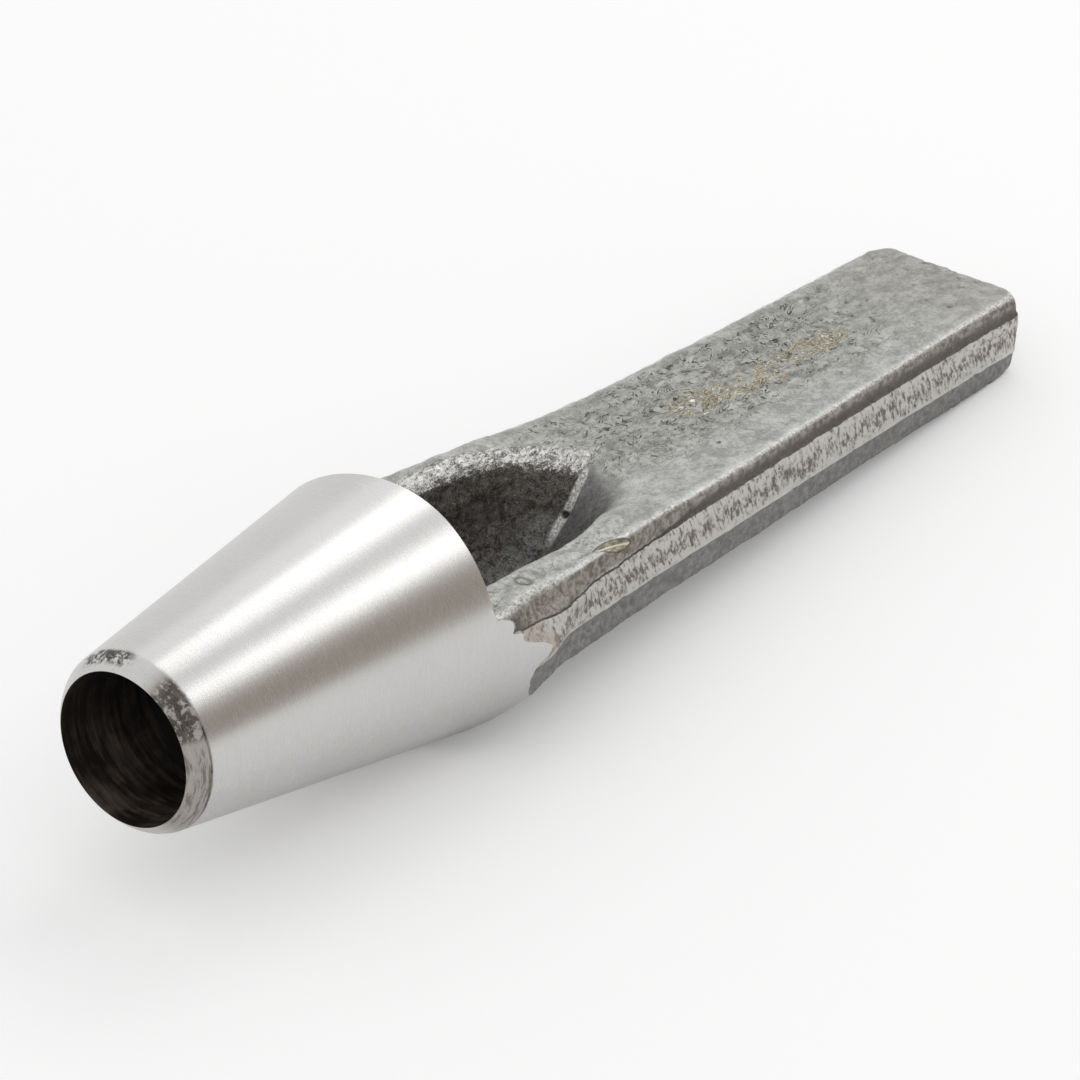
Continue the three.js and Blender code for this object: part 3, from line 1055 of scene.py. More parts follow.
along, across = lens_place(x, y, z)
lens = np.clip(1 - along ** 2 - np.abs(across), 0, 1) ** LENS_POWER
lift -= LENS_DEPTH * lens * (z > MARK_HEIGHT) * (y < MARK_SIDE)
reach = np.hypot(x - PRESSED_RING_PLACE[0], y - PRESSED_RING_PLACE[1])
pressed = bell(reach - PRESSED_RING_RADIUS, PRESSED_RING_SPREAD)
lift -= PRESSED_RING_DEPTH * pressed * (z > PRESSED_RING_HEIGHT)
foot = np.where(y < 0, crest_foot(x, -1), crest_foot(x, 1))
bend = np.where(y < 0, crest_radius(x, -1), crest_radius(x, 1))
# The strip along each crest takes the nicks here, and the material's painted highlight.
rail = hump((np.abs(y) - foot) / bend, -0.5, 0.32 + 0.16 / bend) * (z > MARK_HEIGHT)
rail *= 1 - ramp(top - z, 0.3 * bend, 0.6 * bend + 0.1)
flank = ramp((np.abs(y) - foot) / bend, -0.55, -0.25) * ramp(z, 0.6, 1.0) * ramp(top - z, 0.05, 0.3)
lift -= EDGE_NICK_DEPTH * ramp(grain(points, NICK_SIZE, 11, 3), *NICK_GRAIN) * rail
end_zone = ramp(x, *END_WEAR_RANGE)
lift -= END_WEAR_DEPTH * np.abs(grain(points, END_WEAR_SIZE, 13, 3)) * end_zone
points = points + normals * lift[:, None]
half_box = CAD_BOX[1].y / MM - BOX_CLEARANCE
points[:, 1] = np.clip(points[:, 1], -half_box, half_box)
write_points(shank_mesh, points)
print("largest move: %.2f mm" % np.abs(lift).max())

# %% [markdown]
# ### What wear does
#
# Hands and benches polish what stands out, and what lies deep is given painted shade. The mean
# of each vertex's neighbours tells which is which: it lies below the surface on a crest and
# above it in a pit. That number is kept as an attribute, beside the masks, for the material to read.

# %% Measure crests and hollows
WEAR_SPAN = 0.03
WEAR_PASSES = 3
TRIM_SPAN = 4.0
BRIGHT_SPAN = 4.0
LEDGE_GAPS = (0.02, 0.16)

normals = read_normals(shank_mesh)
crestness = -((neighbour_mean(shank_mesh, points) - points) * normals).sum(axis=1)
for step in range(WEAR_PASSES):
    crestness = 0.5 * crestness + 0.5 * neighbour_mean(shank_mesh, crestness)
proud = np.hypot(points[:, 1], points[:, 2]) - cone_radius(points[:, 0])
# The material paints shade with the hollow, pit and ledge masks, and paints light on the pocket's deep
# floor.
for name, values in (
    ("crest", crestness / WEAR_SPAN), ("hollow", -crestness / WEAR_SPAN), ("pit", pit * pitted),
    ("pocket", pocket), ("rough", rough), ("valley", valley), ("side", side), ("flaky", flaky),
    ("face", face), ("flank", flank), ("far_edge", far_edge), ("rail", rail),
    ("painted_floor_light", painted_floor_light),
    ("ledge", (1 - ramp(plate_gap, *LEDGE_GAPS)) * flaky),
    ("trim", 0.5 + trim / TRIM_SPAN), ("proud", 0.5 + proud / BRIGHT_SPAN), ("nick", nick),
):
    store(shank_mesh, name, values)
print("crestness %.3f to %.3f mm" % (crestness.min(), crestness.max()))

# %% [markdown]
# ### Turning the front
#
# The lathe cut the head last. Where the forging stood proud of the cone, the tool cut it down to
# the cone, and where it lay lower, the forge's skin stayed. So the forging is intersected with
# the room that the tool leaves: a cone from the joint on, and free space behind it. That makes
# the curved line in which the bright cone runs out over the flash band. The faces that the tool
# leaves are marked, so that the material can tell them from the skin.

# %% Cut the forging down to the cone
RUNOUT_END = 49.5
FREE_RADIUS = 30.0
FREE_END = 145.0

room = [(JOINT_STATION, 0.0), (JOINT_STATION, cone_radius(JOINT_STATION)),
        (RUNOUT_END, cone_radius(RUNOUT_END)), (RUNOUT_END, FREE_RADIUS), (FREE_END, FREE_RADIUS),
        (FREE_END, 0.0)]
room_mesh = spin_round_bore("tool_room", room, closed=False)
for mesh, value in ((shank_mesh, 0.0), (room_mesh, 1.0)):
    layer = mesh.attributes.new("turned", "FLOAT", "FACE")
    layer.data.foreach_set("value", np.full(len(mesh.polygons), value, np.float32))
blank = new_piece("blank", shank_mesh)
tool_room = new_piece("tool_room", room_mesh)
cut_with(blank, tool_room, "INTERSECT", "MANIFOLD")
body_mesh = settle(blank, tool_room, "forged_body")
print("after turning:", len(body_mesh.polygons), "faces")

# %% [markdown]
# ### The line of the run-out
#
# The line between turned metal and skin is a real edge. It is marked sharp, so that the shading
# of the cone stays a cone's right up to it.

# %% Mark the run-out sharp and lay the body down
BODY_SHARP_DEGREES = 62

bm = bmesh.new()
bm.from_mesh(body_mesh)
bmesh.ops.recalc_face_normals(bm, faces=bm.faces)
turned_layer = bm.faces.layers.float.get("turned")
runout = 0
for edge in bm.edges:
    if len(edge.link_faces) == 2:
        first, second = (face[turned_layer] for face in edge.link_faces)
        edge.smooth = abs(first - second) < 0.5
        runout += not edge.smooth
triangles = sum(len(face.verts) - 2 for face in bm.faces)
open_edges = sum(not edge.is_manifold for edge in bm.edges)
bm.to_mesh(body_mesh)
bm.free()
print("run-out edges:", runout, "triangles:", triangles, "open edges:", open_edges)

lay_down(body_mesh, BODY_SHARP_DEGREES)
shank = new_piece("forged_body", body_mesh)
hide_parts("forged_shank")
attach(shank, "root")

# %% [markdown]
# ## Materials as formulas
#
# A finish is easier to read as a formula than as a web of nodes. `Sock` wraps a socket, so that
# a sum or a product of sockets adds the Math node that works it out, and `Graph.add` makes every
# other node from its type, its settings and what goes into it.

# %% Sockets that can be added and multiplied


def pick(sockets, key):
    """The usable socket of this name, or the one at this place in the row."""
    usable = [s for s in sockets if s.enabled]
    return usable[key] if isinstance(key, int) else next(s for s in usable if s.name == key)


class Sock:
    def __init__(self, graph, socket):
        self.graph, self.socket = graph, socket

    def maths(self, operation, first, second):
        settings = {"operation": operation}
        return self.graph.add("ShaderNodeMath", settings, {0: first, 1: second})

    def __add__(self, other):
        return self.maths("ADD", self, other)

    def __radd__(self, other):
        return self.maths("ADD", other, self)

    def __sub__(self, other):
        return self.maths("SUBTRACT", self, other)

    def __rsub__(self, other):
        return self.maths("SUBTRACT", other, self)

    def __mul__(self, other):
        return self.maths("MULTIPLY", self, other)

    def __rmul__(self, other):
        return self.maths("MULTIPLY", other, self)

    def __truediv__(self, other):
        return self.maths("DIVIDE", self, other)

    def __pow__(self, other):
        return self.maths("POWER", self, other)

    def smooth(self, start, stop):
        """The smooth step again, as a node: zero at start and one at stop."""
        values = {"Value": self, "From Min": start, "From Max": stop}
        settings = {"interpolation_type": "SMOOTHSTEP"}
        return self.graph.add("ShaderNodeMapRange", settings, values)

    def window(self, start, full, fading, stop):
        """Up and down again: one from full to fading, zero before start and after stop."""
        return self.smooth(start, full) * (1 - self.smooth(fading, stop))

    def clamped(self):
        return self.graph.add("ShaderNodeClamp", {}, {"Value": self})


class Graph:
    def __init__(self, owner):
        owner.use_nodes = True
        self.tree = owner.node_tree
        self.is_world = isinstance(owner, bpy.types.World)
        self.tree.nodes.clear()

    def add(self, kind, settings, values, output=0):
        node = self.tree.nodes.new(kind)
        for name, value in settings.items():
            setattr(node, name, value)
        for key, value in values.items():
            socket = pick(node.inputs, key)
            if isinstance(value, Sock):
                self.tree.links.new(value.socket, socket)
            else:
                socket.default_value = value
        return Sock(self, pick(node.outputs, output))

    def attribute(self, name):
        return self.add("ShaderNodeAttribute", {"attribute_name": name}, {}, "Fac")

    def noise(self, where, scale, detail=3.0, roughness=0.55, distortion=0.0):
        """Noise of one scale, or of three when it is stretched along an axis."""
        if isinstance(scale, tuple):
            stretched = {0: where, 1: scale}
            where = self.add("ShaderNodeVectorMath", {"operation": "MULTIPLY"}, stretched)
            scale = 1.0
        values = {"Vector": where, "Scale": scale, "Detail": detail, "Roughness": roughness,
                  "Distortion": distortion}
        return self.add("ShaderNodeTexNoise", {}, values, "Fac")

    def mix(self, share, first, second):
        """A colour between two others."""
        settings = {"data_type": "RGBA"}
        values = {"Factor": share}
        for name, colour in (("A", first), ("B", second)):
            values[name] = colour if isinstance(colour, Sock) else (*colour, 1)
        return self.add("ShaderNodeMix", settings, values)

    def bump(self, height):
        """A normal from a height in metres."""
        return self.add("ShaderNodeBump", {}, {"Height": height, "Distance": 1.0, "Strength": 1.0})

    def finish(self, shader):
        """Links the shader to the output that materials or worlds have."""
        kind = "ShaderNodeOutputWorld" if self.is_world else "ShaderNodeOutputMaterial"
        self.tree.links.new(shader.socket, self.tree.nodes.new(kind).inputs["Surface"])


def punch_place(graph):
    """The place on the punch, in millimetres of the bore's own frame."""
    back = TURN.inverted()
    settings = {"vector_type": "POINT"}
    where = graph.add("ShaderNodeTexCoord", {}, {}, "Object")
    values = {"Vector": where, "Scale": (1 / MM,) * 3, "Rotation": back.to_euler(),
              "Location": -(back @ SHIFT)}
    return graph.add("ShaderNodeMapping", settings, values)


def signed_mask(graph, name, span):
    """A distance that the mesh keeps as a number from 0 to 1, in millimetres again."""
    return (graph.attribute(name) - 0.5) * span


def parts_of(graph, vector):
    return [graph.add("ShaderNodeSeparateXYZ", {}, {0: vector}, i) for i in range(3)]


# %% [markdown]
# ## Turned steel
#
# The tool left fine rings round the cone, too fine to see one by one. They spread each highlight
# along the cone and keep it narrow round it. Noise squeezed hard along the bore and stretched
# across it makes such rings, and as a bump it spreads the light in the same way.

# %% The look of turned steel
RING_BUMP = 0.000006
STAIN_START = 1.8
STAIN_END = 2.4
BORE_BORDER = (0.02, 0.06)


def turned_look(graph, place):
    """Colour, roughness and ring height of a turned surface."""
    fine = graph.noise(place, (14.0, 1.1, 1.1), 3.0, 0.6)
    long = graph.noise(place, (11.0, 0.25, 0.25), 2.0, 0.6)
    cloud = graph.noise(place, 0.16, 2.0)
    shade = fine * 0.55 + long * 0.25 + cloud * 0.2
    colour = graph.mix(shade.smooth(0.3, 0.7), (0.645, 0.635, 0.62), (0.72, 0.712, 0.70))
    roughness = 0.2 + 0.12 * fine
    return colour, roughness, fine + long * 0.5


def turned_steel(name):
    material = bpy.data.materials.new(name)
    graph = Graph(material)
    place = punch_place(graph)
    x, y, z = parts_of(graph, place)
    colour, roughness, height = turned_look(graph, place)

    angle = graph.add("ShaderNodeMath", {"operation": "ARCTAN2"}, {0: 0 - y, 1: z})
    spots = graph.noise(place, 0.7, 4.0, 0.62, 0.5)
    fine_spots = graph.noise(place, 2.4, 3.0, 0.65)
    swirls = graph.noise(place, 0.5, 1.5, 0.5, 0.8)
    streaks = graph.noise(place, (3.0, 0.4, 0.4), 4.0, 0.7, 0.3)
    lip = 1 - (x + (spots - 0.5) * 0.6).smooth(STAIN_START, STAIN_END)
    outer_half = x.smooth(0.35, 0.8)
    far_patch = angle.window(-0.8, -0.6, -0.12, 0.05) * outer_half
    near_patch = angle.window(0.35, 0.5, 1.08, 1.2)
    low_patch = angle.window(1.15, 1.3, 2.2, 2.5)
    patchy = (spots * 0.55 + fine_spots * 0.45).smooth(0.43, 0.53)
    loops = 1 - ((swirls - 0.5) * (swirls - 0.5)).smooth(0.0006, 0.003)
    swirling = graph.add("ShaderNodeMath", {"operation": "MAXIMUM"}, {0: patchy, 1: loops * 0.8})
    outline = x.window(1.85, 2.0, 2.08, 2.25) * angle.window(0.9, 1.05, 2.0, 2.3) * (0.4 + streaks)
    scorch = far_patch * patchy + near_patch * swirling + low_patch * streaks.smooth(0.5, 0.6) * 0.5
    scorch = (lip * (scorch + fine_spots.smooth(0.62, 0.72) * 0.2) + outline * 0.7).clamped()
    dull = lip * angle.window(0.2, 0.5, 2.3, 2.7)
    colour = graph.mix(dull * (0.35 + streaks * 0.6), colour, (0.25, 0.208, 0.17))
    scale_colour = graph.mix(fine_spots.smooth(0.38, 0.62), (0.025, 0.021, 0.017), (0.10, 0.086, 0.075))
    colour = graph.mix(scorch * 0.92, colour, scale_colour)

    reach = (y * y + z * z) ** 0.5
    depth = reach - x * (BORE_RELIEF / JOINT_STATION)
    inside = 1 - depth.smooth(BORE_RADIUS + BORE_BORDER[0], BORE_RADIUS + BORE_BORDER[1])
    rings = graph.noise(place, (1.4, 0.16, 0.16), 4.0, 0.65, 0.3)
    soot = graph.noise(place, 0.3, 3.0, 0.6)
    streaks_and_painted_light = (rings * 0.6 + soot * 0.4).smooth(0.42, 0.7)
    # Painted light: the bore's streaks are paler low down near its mouth, where light falls in.
    streaks_and_painted_light = streaks_and_painted_light * (0.35 + (1 - z.smooth(-6, 0)) * (1 - x.smooth(4, 16)))
    bore_colour = graph.mix(streaks_and_painted_light, (0.02, 0.015, 0.012), (0.17, 0.135, 0.11))
    colour = graph.mix(inside, colour, bore_colour)

    rough = roughness + scorch * 0.25 + inside * 0.3
    scale_height = scorch * (fine_spots - 0.3) * 2 + inside * rings * 2
    bumps = graph.bump((height + scale_height) * RING_BUMP)
    values = {"Base Color": colour, "Metallic": 1 - inside * 0.5, "Roughness": rough, "Normal": bumps}
    graph.finish(graph.add("ShaderNodeBsdfPrincipled", {}, values))
    return material


head.data.materials.append(turned_steel("turned_steel"))
print("turned steel:", len(head.data.materials[0].node_tree.nodes), "nodes")

# %% [markdown]
# ## Forged steel
#
# Forged steel keeps a grey skin of scale. It is paler and smoother where hands rub it. Painted
# shade makes it almost black in the pits and hollows and dark brown in the groove that the
# trimmed flash left. The masks that the mesh carries say where each of these begins; noise
# breaks their borders up.
#
# Flakes of scale show as a step in height, with painted shade as a thin dark line at the foot
# of each step and a painted highlight as a light line along its lip. Where a noise passes one of
# a few levels, its contour line has just such a shape, so the noise is cut into terraces.

# %% The skin of the top
SKIN_BUMP = 0.00012
TERRACES = (0.45, 0.53)


def terraces(field, levels, softness):
    """A field cut into steps, and thin lines along the foot and the lip of each step."""
    height, feet, lips = 0, 0, 0
    for level in levels:
        step = field.smooth(level, level + softness)
        beyond = field.smooth(level + softness, level + softness * 2.5)
        feet = field.smooth(level - softness * 1.5, level) * (1 - step) + feet
        lips = step * (1 - beyond) + lips
        height = step + height
    return height, feet, lips


def skin_look(graph, place, mask):
    """Colour, painted shade and height of the scaly skin, before dirt and wear."""
    x = parts_of(graph, place)[0]
    sand = graph.noise(place, 7.0, 2.0, 0.6)
    grit = graph.noise(place, 2.4, 4.0, 0.65)
    cloud = graph.noise(place, (0.4, 0.6, 0.6), 4.0, 0.6)
    flake_field = graph.noise(place, (0.24, 0.38, 0.38), 3.0, 0.55, 0.9)
    broken = graph.noise(place, 0.8, 2.0).smooth(0.47, 0.56)
    steps, feet, lips = terraces(flake_field, TERRACES, 0.02)
    tone = cloud * 0.4 + grit * 0.35 + sand * 0.25
    colour = graph.mix(tone.smooth(0.41, 0.59), (0.33, 0.332, 0.312), (0.60, 0.602, 0.575))
    scaly = mask["flaky"] * 0.85 + 0.15 + (1 - x.smooth(60, 72)) * 0.5
    end_brown = x.smooth(118, 134) * 0.25
    colour = graph.mix(mask["flaky"] * 0.22, colour, (0.20, 0.197, 0.165))
    colour = graph.mix(end_brown, colour, (0.29, 0.262, 0.225))
    blotch = graph.noise(place, (0.6, 0.85, 0.85), 5.0, 0.62, 0.4)
    blotch = blotch.smooth(0.53, 0.62) * scaly
    colour = graph.mix(blotch * 0.7, colour, (0.215, 0.208, 0.182))
    # Painted highlight: a light line along the lip of each scale step.
    colour = graph.mix(lips * broken * scaly * 0.4, colour, (0.70, 0.70, 0.67))
    # Painted shade: near black at the foot of each step, along the plates' ledges, in pits and in hollows.
    painted_shade = feet * broken * scaly * 0.9 + mask["ledge"] * 0.3 + mask["pit"] * 0.4 + mask["hollow"] * 0.25
    painted_shade = (painted_shade * (0.5 + grit)).smooth(0.1, 1.0)
    colour = graph.mix(painted_shade, colour, (0.105, 0.10, 0.083))
    height = grit * 0.45 + sand * 0.14 + cloud * 1.6 * scaly
    height = height + steps * 1.3 * mask["flaky"] - blotch * 0.6
    return colour, painted_shade, height, grit, sand


# %% [markdown]
# ### Dirt, trimmed flash, worn edges and painted light and shade
#
# The trimmed band is pale, with short slanted strokes that the shearing tool left about its
# middle, and a painted highlight along its lower edge. Painted shade darkens the groove along
# its upper edge, thin near the head and broad along the shank, and the rail's flank over it is
# brown. A painted highlight lies in short dashes along the crests, and the far edge of the
# pocket is worn to bare metal.

# %% The trimmed band and the flank
BAND_FALL = 0.45


def side_look(graph, place, mask, colour, mottle, grit):
    """Adds the flank, the band with a painted highlight on its lower edge, the painted shade in the groove
    and the drafted face below to the skin's colour.
    """
    x, y, z = parts_of(graph, place)
    over = signed_mask(graph, "trim", TRIM_SPAN)
    broad = x.smooth(66, 80)
    over_band = mask["side"] * over.smooth(0.0, 0.2)
    flank = over_band * (mask["flank"] + (mottle - 0.5) * 0.7).smooth(0.2, 0.7)
    flank_tone = graph.mix(mottle.smooth(0.36, 0.64), (0.14, 0.12, 0.096), (0.40, 0.37, 0.33))
    colour = graph.mix(flank * 0.9, colour, flank_tone)

    slanted = {0: (x + z * BAND_FALL) * 2.2, 1: y * 0.4, 2: z * 0.75}
    slant = graph.add("ShaderNodeCombineXYZ", {}, slanted)
    strokes = graph.noise(slant, 1.0, 4.0, 0.65, 0.3)
    under_edge = mask["side"] * (1 - over.smooth(-0.1, 0.0))
    on_band = under_edge * z.smooth(BAND_BOTTOM - 0.1, BAND_BOTTOM + 0.05)
    deep = (z - BAND_BOTTOM) / (BAND_TOP - BAND_BOTTOM)
    middle = deep.window(0.1, 0.4, 0.55, 0.8)
    shade = strokes * 0.6 + mottle * 0.4 + middle * 0.06
    trimmed = graph.mix(shade.smooth(0.49, 0.63), (0.66, 0.645, 0.61), (0.20, 0.172, 0.145))
    stained = mottle.smooth(0.5, 0.6) * x.smooth(120, 132) * deep.smooth(0.4, 0.6)
    trimmed = graph.mix(stained * 0.8, trimmed, (0.22, 0.175, 0.145))
    colour = graph.mix(on_band, colour, trimmed)
    # Painted highlight: a light line along the band's lower edge.
    lower_edge_highlight = on_band * (1 - deep.smooth(0.05, 0.14))
    colour = graph.mix(lower_edge_highlight * 0.7, colour, (0.72, 0.71, 0.685))
    below = (1 - z.smooth(BAND_BOTTOM - 0.12, BAND_BOTTOM + 0.02)) * (1 - mask["pocket"])
    under = graph.mix(mottle.smooth(0.35, 0.68), (0.20, 0.196, 0.188), (0.34, 0.335, 0.325))
    colour = graph.mix(below, colour, under)

    # Painted shade: the groove along the band's upper edge is darkened, thin near the head and broad along
    # the shank.
    wide = 0.14 + broad * 0.95
    groove_shade = mask["side"] * over.smooth(-0.12, -0.02) * (1 - (over / wide).smooth(0.5, 1.4))
    groove_shade_colour = graph.mix(broad, (0.05, 0.04, 0.032), (0.105, 0.092, 0.075))
    colour = graph.mix(groove_shade * (0.6 + grit * 0.7), colour, groove_shade_colour)
    relief = 0 - strokes.smooth(0.48, 0.64) * on_band * 0.35
    return colour, groove_shade, relief


# %% The pocket, the worn edges and the marks
def pocket_look(graph, place, mask, colour, mottle, sand):
    """Sooty and mottled on the far wall, grey and smoother towards the near one, with painted light on the
    deep floor.
    """
    shade = mottle * 0.6 + sand * 0.4
    soot = graph.mix(shade.smooth(0.42, 0.62), (0.028, 0.023, 0.019), (0.135, 0.12, 0.104))
    soot = graph.mix((mottle * 0.5 + sand * 0.5).smooth(0.56, 0.68) * 0.5, soot, (0.36, 0.335, 0.30))
    # Painted light: the paler floor tone and the pale crease lines grow where light is painted on the pocket
    # floor.
    floor_tone = graph.mix(shade.smooth(0.38, 0.62), (0.05, 0.048, 0.045), (0.24, 0.237, 0.228))
    soot = graph.mix(mask["painted_floor_light"], soot, floor_tone)
    creases = terraces(graph.noise(place, 0.55, 4.0, 0.6, 0.8), (0.44, 0.5, 0.56), 0.016)[1]
    soot = graph.mix(creases * (0.25 + mask["painted_floor_light"] * 0.4), soot, (0.42, 0.41, 0.38))
    dirt = (mask["rough"] * (0.75 + mottle * 0.5) * (1 - mask["far_edge"] * 0.8)).smooth(0.2, 0.7)
    smooth_wall = graph.mix(shade.smooth(0.36, 0.64), (0.105, 0.104, 0.098), (0.255, 0.252, 0.242))
    colour = graph.mix(mask["pocket"], colour, smooth_wall)
    return graph.mix(dirt, colour, soot), dirt


def lens_look(graph, place, colour, grit, scratches):
    """The dent on the near crest: brassy, with painted shade that makes it olive above, a painted highlight
    streak, and a painted dark border.
    """
    x, y, z = parts_of(graph, place)
    along, across = lens_place(x, y, z)
    inner = 1 - along * along - (across * across + 0.01) ** 0.5 + (grit - 0.5) * 0.12
    near_crest = z.smooth(0.9, 1.3) * (1 - y.smooth(-8, -6))
    # Painted light: the dent's lower facet is a lit copy of its brassy metal and its upper facet a shaded
    # olive copy, with a painted highlight streak between.
    painted_shade_facet = graph.mix(scratches.smooth(0.42, 0.6), (0.17, 0.155, 0.105), (0.36, 0.335, 0.25))
    painted_lit_facet = graph.mix(scratches.smooth(0.4, 0.6), (0.29, 0.255, 0.17), (0.58, 0.54, 0.40))
    facets = graph.mix(across.smooth(-0.15, 0.15), painted_shade_facet, painted_lit_facet)
    painted_streak_highlight = across.window(-0.1, 0.1, 0.15, 0.35)
    facets = graph.mix(painted_streak_highlight * 0.8, facets, (0.88, 0.85, 0.74))
    # Painted shade: a dark line round the dent's border.
    border = inner.window(-0.22, -0.04, 0.02, 0.12) * near_crest
    colour = graph.mix(border * 0.75, colour, (0.09, 0.08, 0.06))
    inner = inner.smooth(0.02, 0.12) * near_crest
    return graph.mix(inner, colour, facets), inner


# %% Worn edges, the pressed ring, the worn patch, and their painted highlights and shade
GLINT_PLACES = ((90.6, 1.75), (92.7, 1.8))
GLINT_REACH = (0.06, 0.2)
TOP_HEIGHTS = (0.5, 1.5)


def wear_look(graph, place, mask, colour, groove_shade, sand):
    """Bare metal on the far edge and the torn strip with dark gaps between, polish and a painted highlight
    on the crests, and painted shade in the nick.
    """
    dashes = graph.noise(place, (2.6, 4.0, 4.0), 3.0, 0.7)
    # Painted highlight: short bright dashes along the rounding of each crest.
    crest_highlight = mask["rail"] * dashes.smooth(0.38, 0.56) * (0.55 + mask["crest"] * 0.6)
    chips = graph.noise(place, (1.1, 2.3, 2.3), 5.0, 0.72, 0.5)
    specks = chips * 0.65 + sand * 0.35 + mask["far_edge"] * 0.1
    worn_rim = mask["far_edge"].smooth(0.1, 0.6) * specks.smooth(0.53, 0.66)
    torn = mask["valley"].smooth(0.25, 0.7) * (0.35 + dashes.smooth(0.4, 0.6) * 0.65)
    torn = torn * (1 - mask["nick"].smooth(0.2, 0.7))
    wear = mask["crest"] * 0.3 * mask["face"]
    wear_and_highlight = (crest_highlight + worn_rim + torn + wear).clamped() * (1 - groove_shade)
    colour = graph.mix(wear_and_highlight, colour, (0.86, 0.85, 0.82))
    gaps = mask["far_edge"] * (1 - specks.smooth(0.5, 0.55))
    colour = graph.mix(gaps * 0.75, colour, (0.05, 0.045, 0.036))
    # Painted shade: the nick across the valley is darkened.
    colour = graph.mix(mask["nick"].smooth(0.3, 0.8), colour, (0.03, 0.028, 0.025))
    return colour, wear_and_highlight, dashes


def pressed_ring_look(graph, place, colour, grit):
    x, y, z = parts_of(graph, place)
    ring_x, ring_y = x - PRESSED_RING_PLACE[0], y - PRESSED_RING_PLACE[1]
    from_ring = (ring_x * ring_x + ring_y * ring_y) ** 0.5
    ring = from_ring.window(*(PRESSED_RING_RADIUS + step for step in (-0.3, 0.0, 0.1, 0.4)))
    # Painted shade: the pressed ring's groove is darkened.
    shade = ring * (0.2 + grit * 0.9) * z.smooth(*TOP_HEIGHTS)
    return graph.mix(shade, colour, (0.15, 0.145, 0.125))


def patch_look(graph, place, colour, dashes, grit):
    """The brassy patch on the top, broken into blobs, with a few painted glints."""
    x, y, z = parts_of(graph, place)
    torn_field = graph.noise(place, (0.45, 0.6, 0.6), 4.0, 0.65, 0.6)
    patch_line = (y + x.smooth(90, 104) * 1.8 - 1.8 + (torn_field - 0.5) * 6) / 2.8
    patch = (1 - (patch_line * patch_line).smooth(0.0, 1.0)) * x.window(86, 92, 115, 122)
    blobs = graph.noise(place, 0.42, 3.0, 0.65, 0.6).smooth(0.41, 0.51)
    patch = (patch * (0.2 + torn_field * 1.6)).smooth(0.35, 0.8) * blobs * z.smooth(*TOP_HEIGHTS)
    yellow = graph.mix(dashes.smooth(0.42, 0.6), (0.24, 0.215, 0.15), (0.66, 0.61, 0.47))
    colour = graph.mix(patch * 0.85, colour, yellow)
    # Painted glints: near-white sparks in the patch, and two glints at fixed places.
    painted_glints = (torn_field * 0.4 + dashes * 0.6).smooth(0.57, 0.63) * patch.smooth(0.1, 0.5)
    for glint_x, glint_y in GLINT_PLACES:
        away = (x - glint_x) * (x - glint_x) + (y - glint_y) * (y - glint_y) * 3 + (grit - 0.5) * 0.3
        painted_glints = painted_glints + (1 - away.smooth(*GLINT_REACH)) * z.smooth(*TOP_HEIGHTS)
    return graph.mix(painted_glints.clamped(), colour, (0.95, 0.93, 0.87)), patch


# %% The forged steel
MASKS = ("crest", "hollow", "pit", "pocket", "rough", "valley", "side", "flaky", "face", "flank",
         "far_edge", "rail", "ledge", "nick", "painted_floor_light")


def forged_steel(name):
    material = bpy.data.materials.new(name)
    graph = Graph(material)
    place = punch_place(graph)
    z = parts_of(graph, place)[2]
    mask = {n: graph.attribute(n) for n in MASKS}
    colour, painted_shade, height, grit, sand = skin_look(graph, place, mask)
    mottle = graph.noise(place, 1.3, 5.0, 0.68, 0.3)
    colour, dirt = pocket_look(graph, place, mask, colour, mottle, sand)
    colour, groove_shade, side_relief = side_look(graph, place, mask, colour, mottle, grit)
    colour, wear_and_highlight, dashes = wear_look(graph, place, mask, colour, groove_shade, sand)
    colour = pressed_ring_look(graph, place, colour, grit)
    scratches = graph.noise(place, (0.9, 6.0, 6.0), 3.0, 0.7)
    colour, lens = lens_look(graph, place, colour, grit, scratches)
    colour, patch = patch_look(graph, place, colour, dashes, grit)

    roughness = 0.46 + (grit - 0.5) * 0.3 + dirt * 0.12 + painted_shade * 0.2 - wear_and_highlight * 0.14 - lens * 0.12
    relief = height * (1 - lens) + mottle * dirt * 1.6 + side_relief
    relief = relief + dashes * (wear_and_highlight + patch) * 0.5 + scratches * lens * 0.5

    bright = graph.attribute("turned")
    ring_colour, ring_roughness, ring_height = turned_look(graph, place)
    proud = signed_mask(graph, "proud", BRIGHT_SPAN) + (mottle - 0.5) * 0.8
    over = signed_mask(graph, "trim", TRIM_SPAN)
    border = (1 - bright) * (1 - mask["pocket"]) * mask["side"]
    rust = proud.smooth(-0.6, -0.15) * border * (1 - over.smooth(-0.1, 0.1)) * z.smooth(-4.2, -3.6)
    colour = graph.mix(rust * 0.5, colour, (0.46, 0.36, 0.30))
    # Painted shade: the rail's front corner, where it turns down into the cone, is darkened.
    corner = proud.smooth(-0.7, -0.1) * border * over.smooth(-0.1, 0.2) * (1 - z.smooth(3.0, 3.8))
    colour = graph.mix(corner * 0.75, colour, (0.12, 0.10, 0.085))
    colour = graph.mix(bright, colour, ring_colour)
    roughness = bright * ring_roughness + (1 - bright) * roughness
    depth = bright * ring_height * RING_BUMP + (1 - bright) * relief * SKIN_BUMP
    metal = 1 - (1 - bright) * (0.08 + mask["pocket"] * 0.45 + groove_shade * 0.4)
    values = {"Base Color": colour, "Metallic": metal, "Roughness": roughness,
              "Normal": graph.bump(depth)}
    graph.finish(graph.add("ShaderNodeBsdfPrincipled", {}, values))
    return material


shank.data.materials.clear()
shank.data.materials.append(forged_steel("forged_steel"))
print("forged steel:", len(shank.data.materials[0].node_tree.nodes), "nodes")

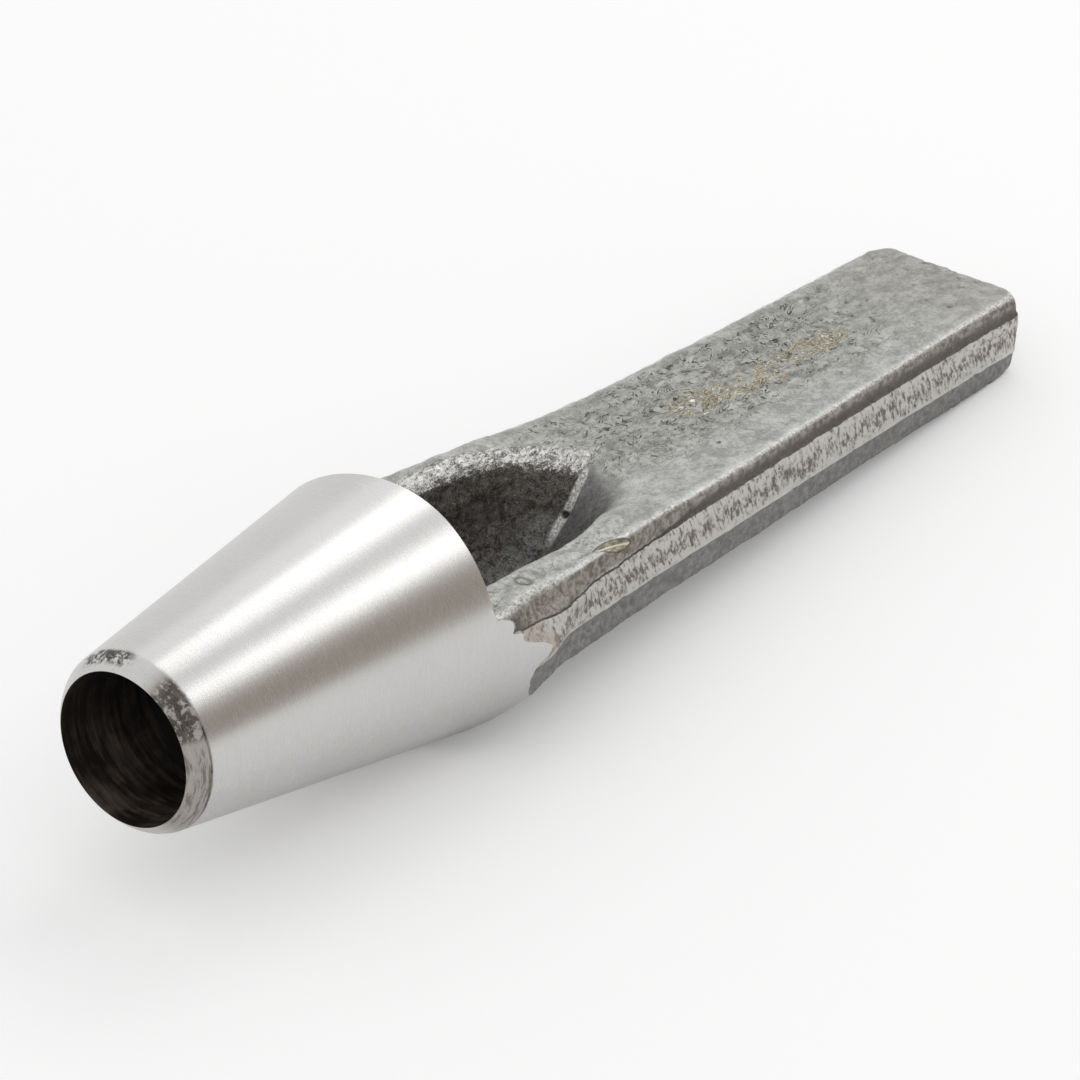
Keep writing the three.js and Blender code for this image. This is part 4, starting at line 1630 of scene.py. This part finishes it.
# %% [markdown]
# ## The studio
#
# Metal shows the room that it stands in. The room here is a pale one: a white floor, an even
# grey sky with one darker place low on the right and one paler place behind, and two square
# softboxes above. The camera itself sees plain white behind the floor.

# %% Build the room
FLOOR_HALF = 3.0
FLOOR_DROP = 0.00005
FLOOR_COLOUR = (0.92, 0.92, 0.92)
FLOOR_LIFT = 0.16
FLOOR_MIRRORED_LIFT = 0.02
SKY_LEVEL = 0.82


def aim_of(azimuth, elevation):
    """A direction in the scene from angles measured in the bore's frame, in degrees."""
    a, e = math.radians(azimuth), math.radians(elevation)
    local = Vector((math.cos(e) * math.cos(a), math.cos(e) * math.sin(a), math.sin(e)))
    return (TURN.to_3x3() @ local).normalized()


bm = bmesh.new()
bmesh.ops.create_grid(bm, x_segments=1, y_segments=1, size=FLOOR_HALF)
bmesh.ops.translate(bm, verts=bm.verts, vec=(0, 0, -FLOOR_DROP))
floor_mesh = mesh_from(bm, "floor")
floor = new_piece("floor", floor_mesh)
floor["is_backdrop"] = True
paper = bpy.data.materials.new("white_paper")
graph = Graph(paper)
rays = [graph.add("ShaderNodeLightPath", {}, {}, n) for n in ("Is Camera Ray", "Is Glossy Ray")]
lift = rays[0] * FLOOR_LIFT + rays[1] * FLOOR_MIRRORED_LIFT
matt = graph.add("ShaderNodeBsdfDiffuse", {}, {"Color": (*FLOOR_COLOUR, 1)})
glow = graph.add("ShaderNodeEmission", {}, {"Color": (1, 1, 1, 1), "Strength": lift})
graph.finish(graph.add("ShaderNodeAddShader", {}, {0: matt, 1: glow}))
floor_mesh.materials.append(paper)

# %% The sky and the softboxes
SKY_PLACES = (
    ((-62, 19), (8, 25), (-0.515, -0.56, -0.60)),
    ((41, 43), (2, 15), (0.25, 0.25, 0.25)),
)
SOFTBOXES = (
    ("right_softbox", (-47, 49), 0.22, 1.3),
    ("rear_softbox", (17, 60), 0.24, 1.2),
)
LAMP_DISTANCE = 0.7

world = bpy.data.worlds.new("studio")
bpy.context.scene.world = world
graph = Graph(world)
direction = graph.add("ShaderNodeTexCoord", {}, {}, "Generated")
sky = (SKY_LEVEL,) * 3
for (azimuth, elevation), (inner, outer), change in SKY_PLACES:
    toward = graph.add("ShaderNodeVectorMath", {"operation": "DOT_PRODUCT"},
                       {0: direction, 1: aim_of(azimuth, elevation)}, "Value")
    lobe = toward.smooth(math.cos(math.radians(outer)), math.cos(math.radians(inner)))
    sky = graph.mix(lobe, sky, tuple(SKY_LEVEL + c for c in change))
seen = graph.add("ShaderNodeLightPath", {}, {}, "Is Camera Ray")
sky = graph.mix(seen, sky, (1, 1, 1))
graph.finish(graph.add("ShaderNodeBackground", {}, {"Color": sky, "Strength": 1.0}))

for name, (azimuth, elevation), size, radiance in SOFTBOXES:
    lamp_data = bpy.data.lights.new(name, "AREA")
    lamp_data.shape = "SQUARE"
    lamp_data.size = size
    lamp_data.energy = radiance * math.pi * size ** 2
    lamp = bpy.data.objects.new(name, lamp_data)
    bpy.context.scene.collection.objects.link(lamp)
    toward = aim_of(azimuth, elevation)
    lamp.location = toward * LAMP_DISTANCE
    lamp.rotation_euler = toward.to_track_quat("Z", "Y").to_euler()
print("softboxes:", len(SOFTBOXES))

# %% [markdown]
# ## Colour and size
#
# The picture is shown with the plain Standard transform, so a colour comes out as it was
# written. The box of the dressed punch is printed beside the box of the bare frame, inside which
# the dress is kept.

# %% Set the view and write the sizes
bpy.context.scene.view_settings.view_transform = "Standard"
boxes = {"cad": [list(corner) for corner in CAD_BOX], "visual": [list(corner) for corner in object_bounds()]}
for name, (low, high) in boxes.items():
    print(name, [round(v, 5) for v in low], [round(v, 5) for v in high])
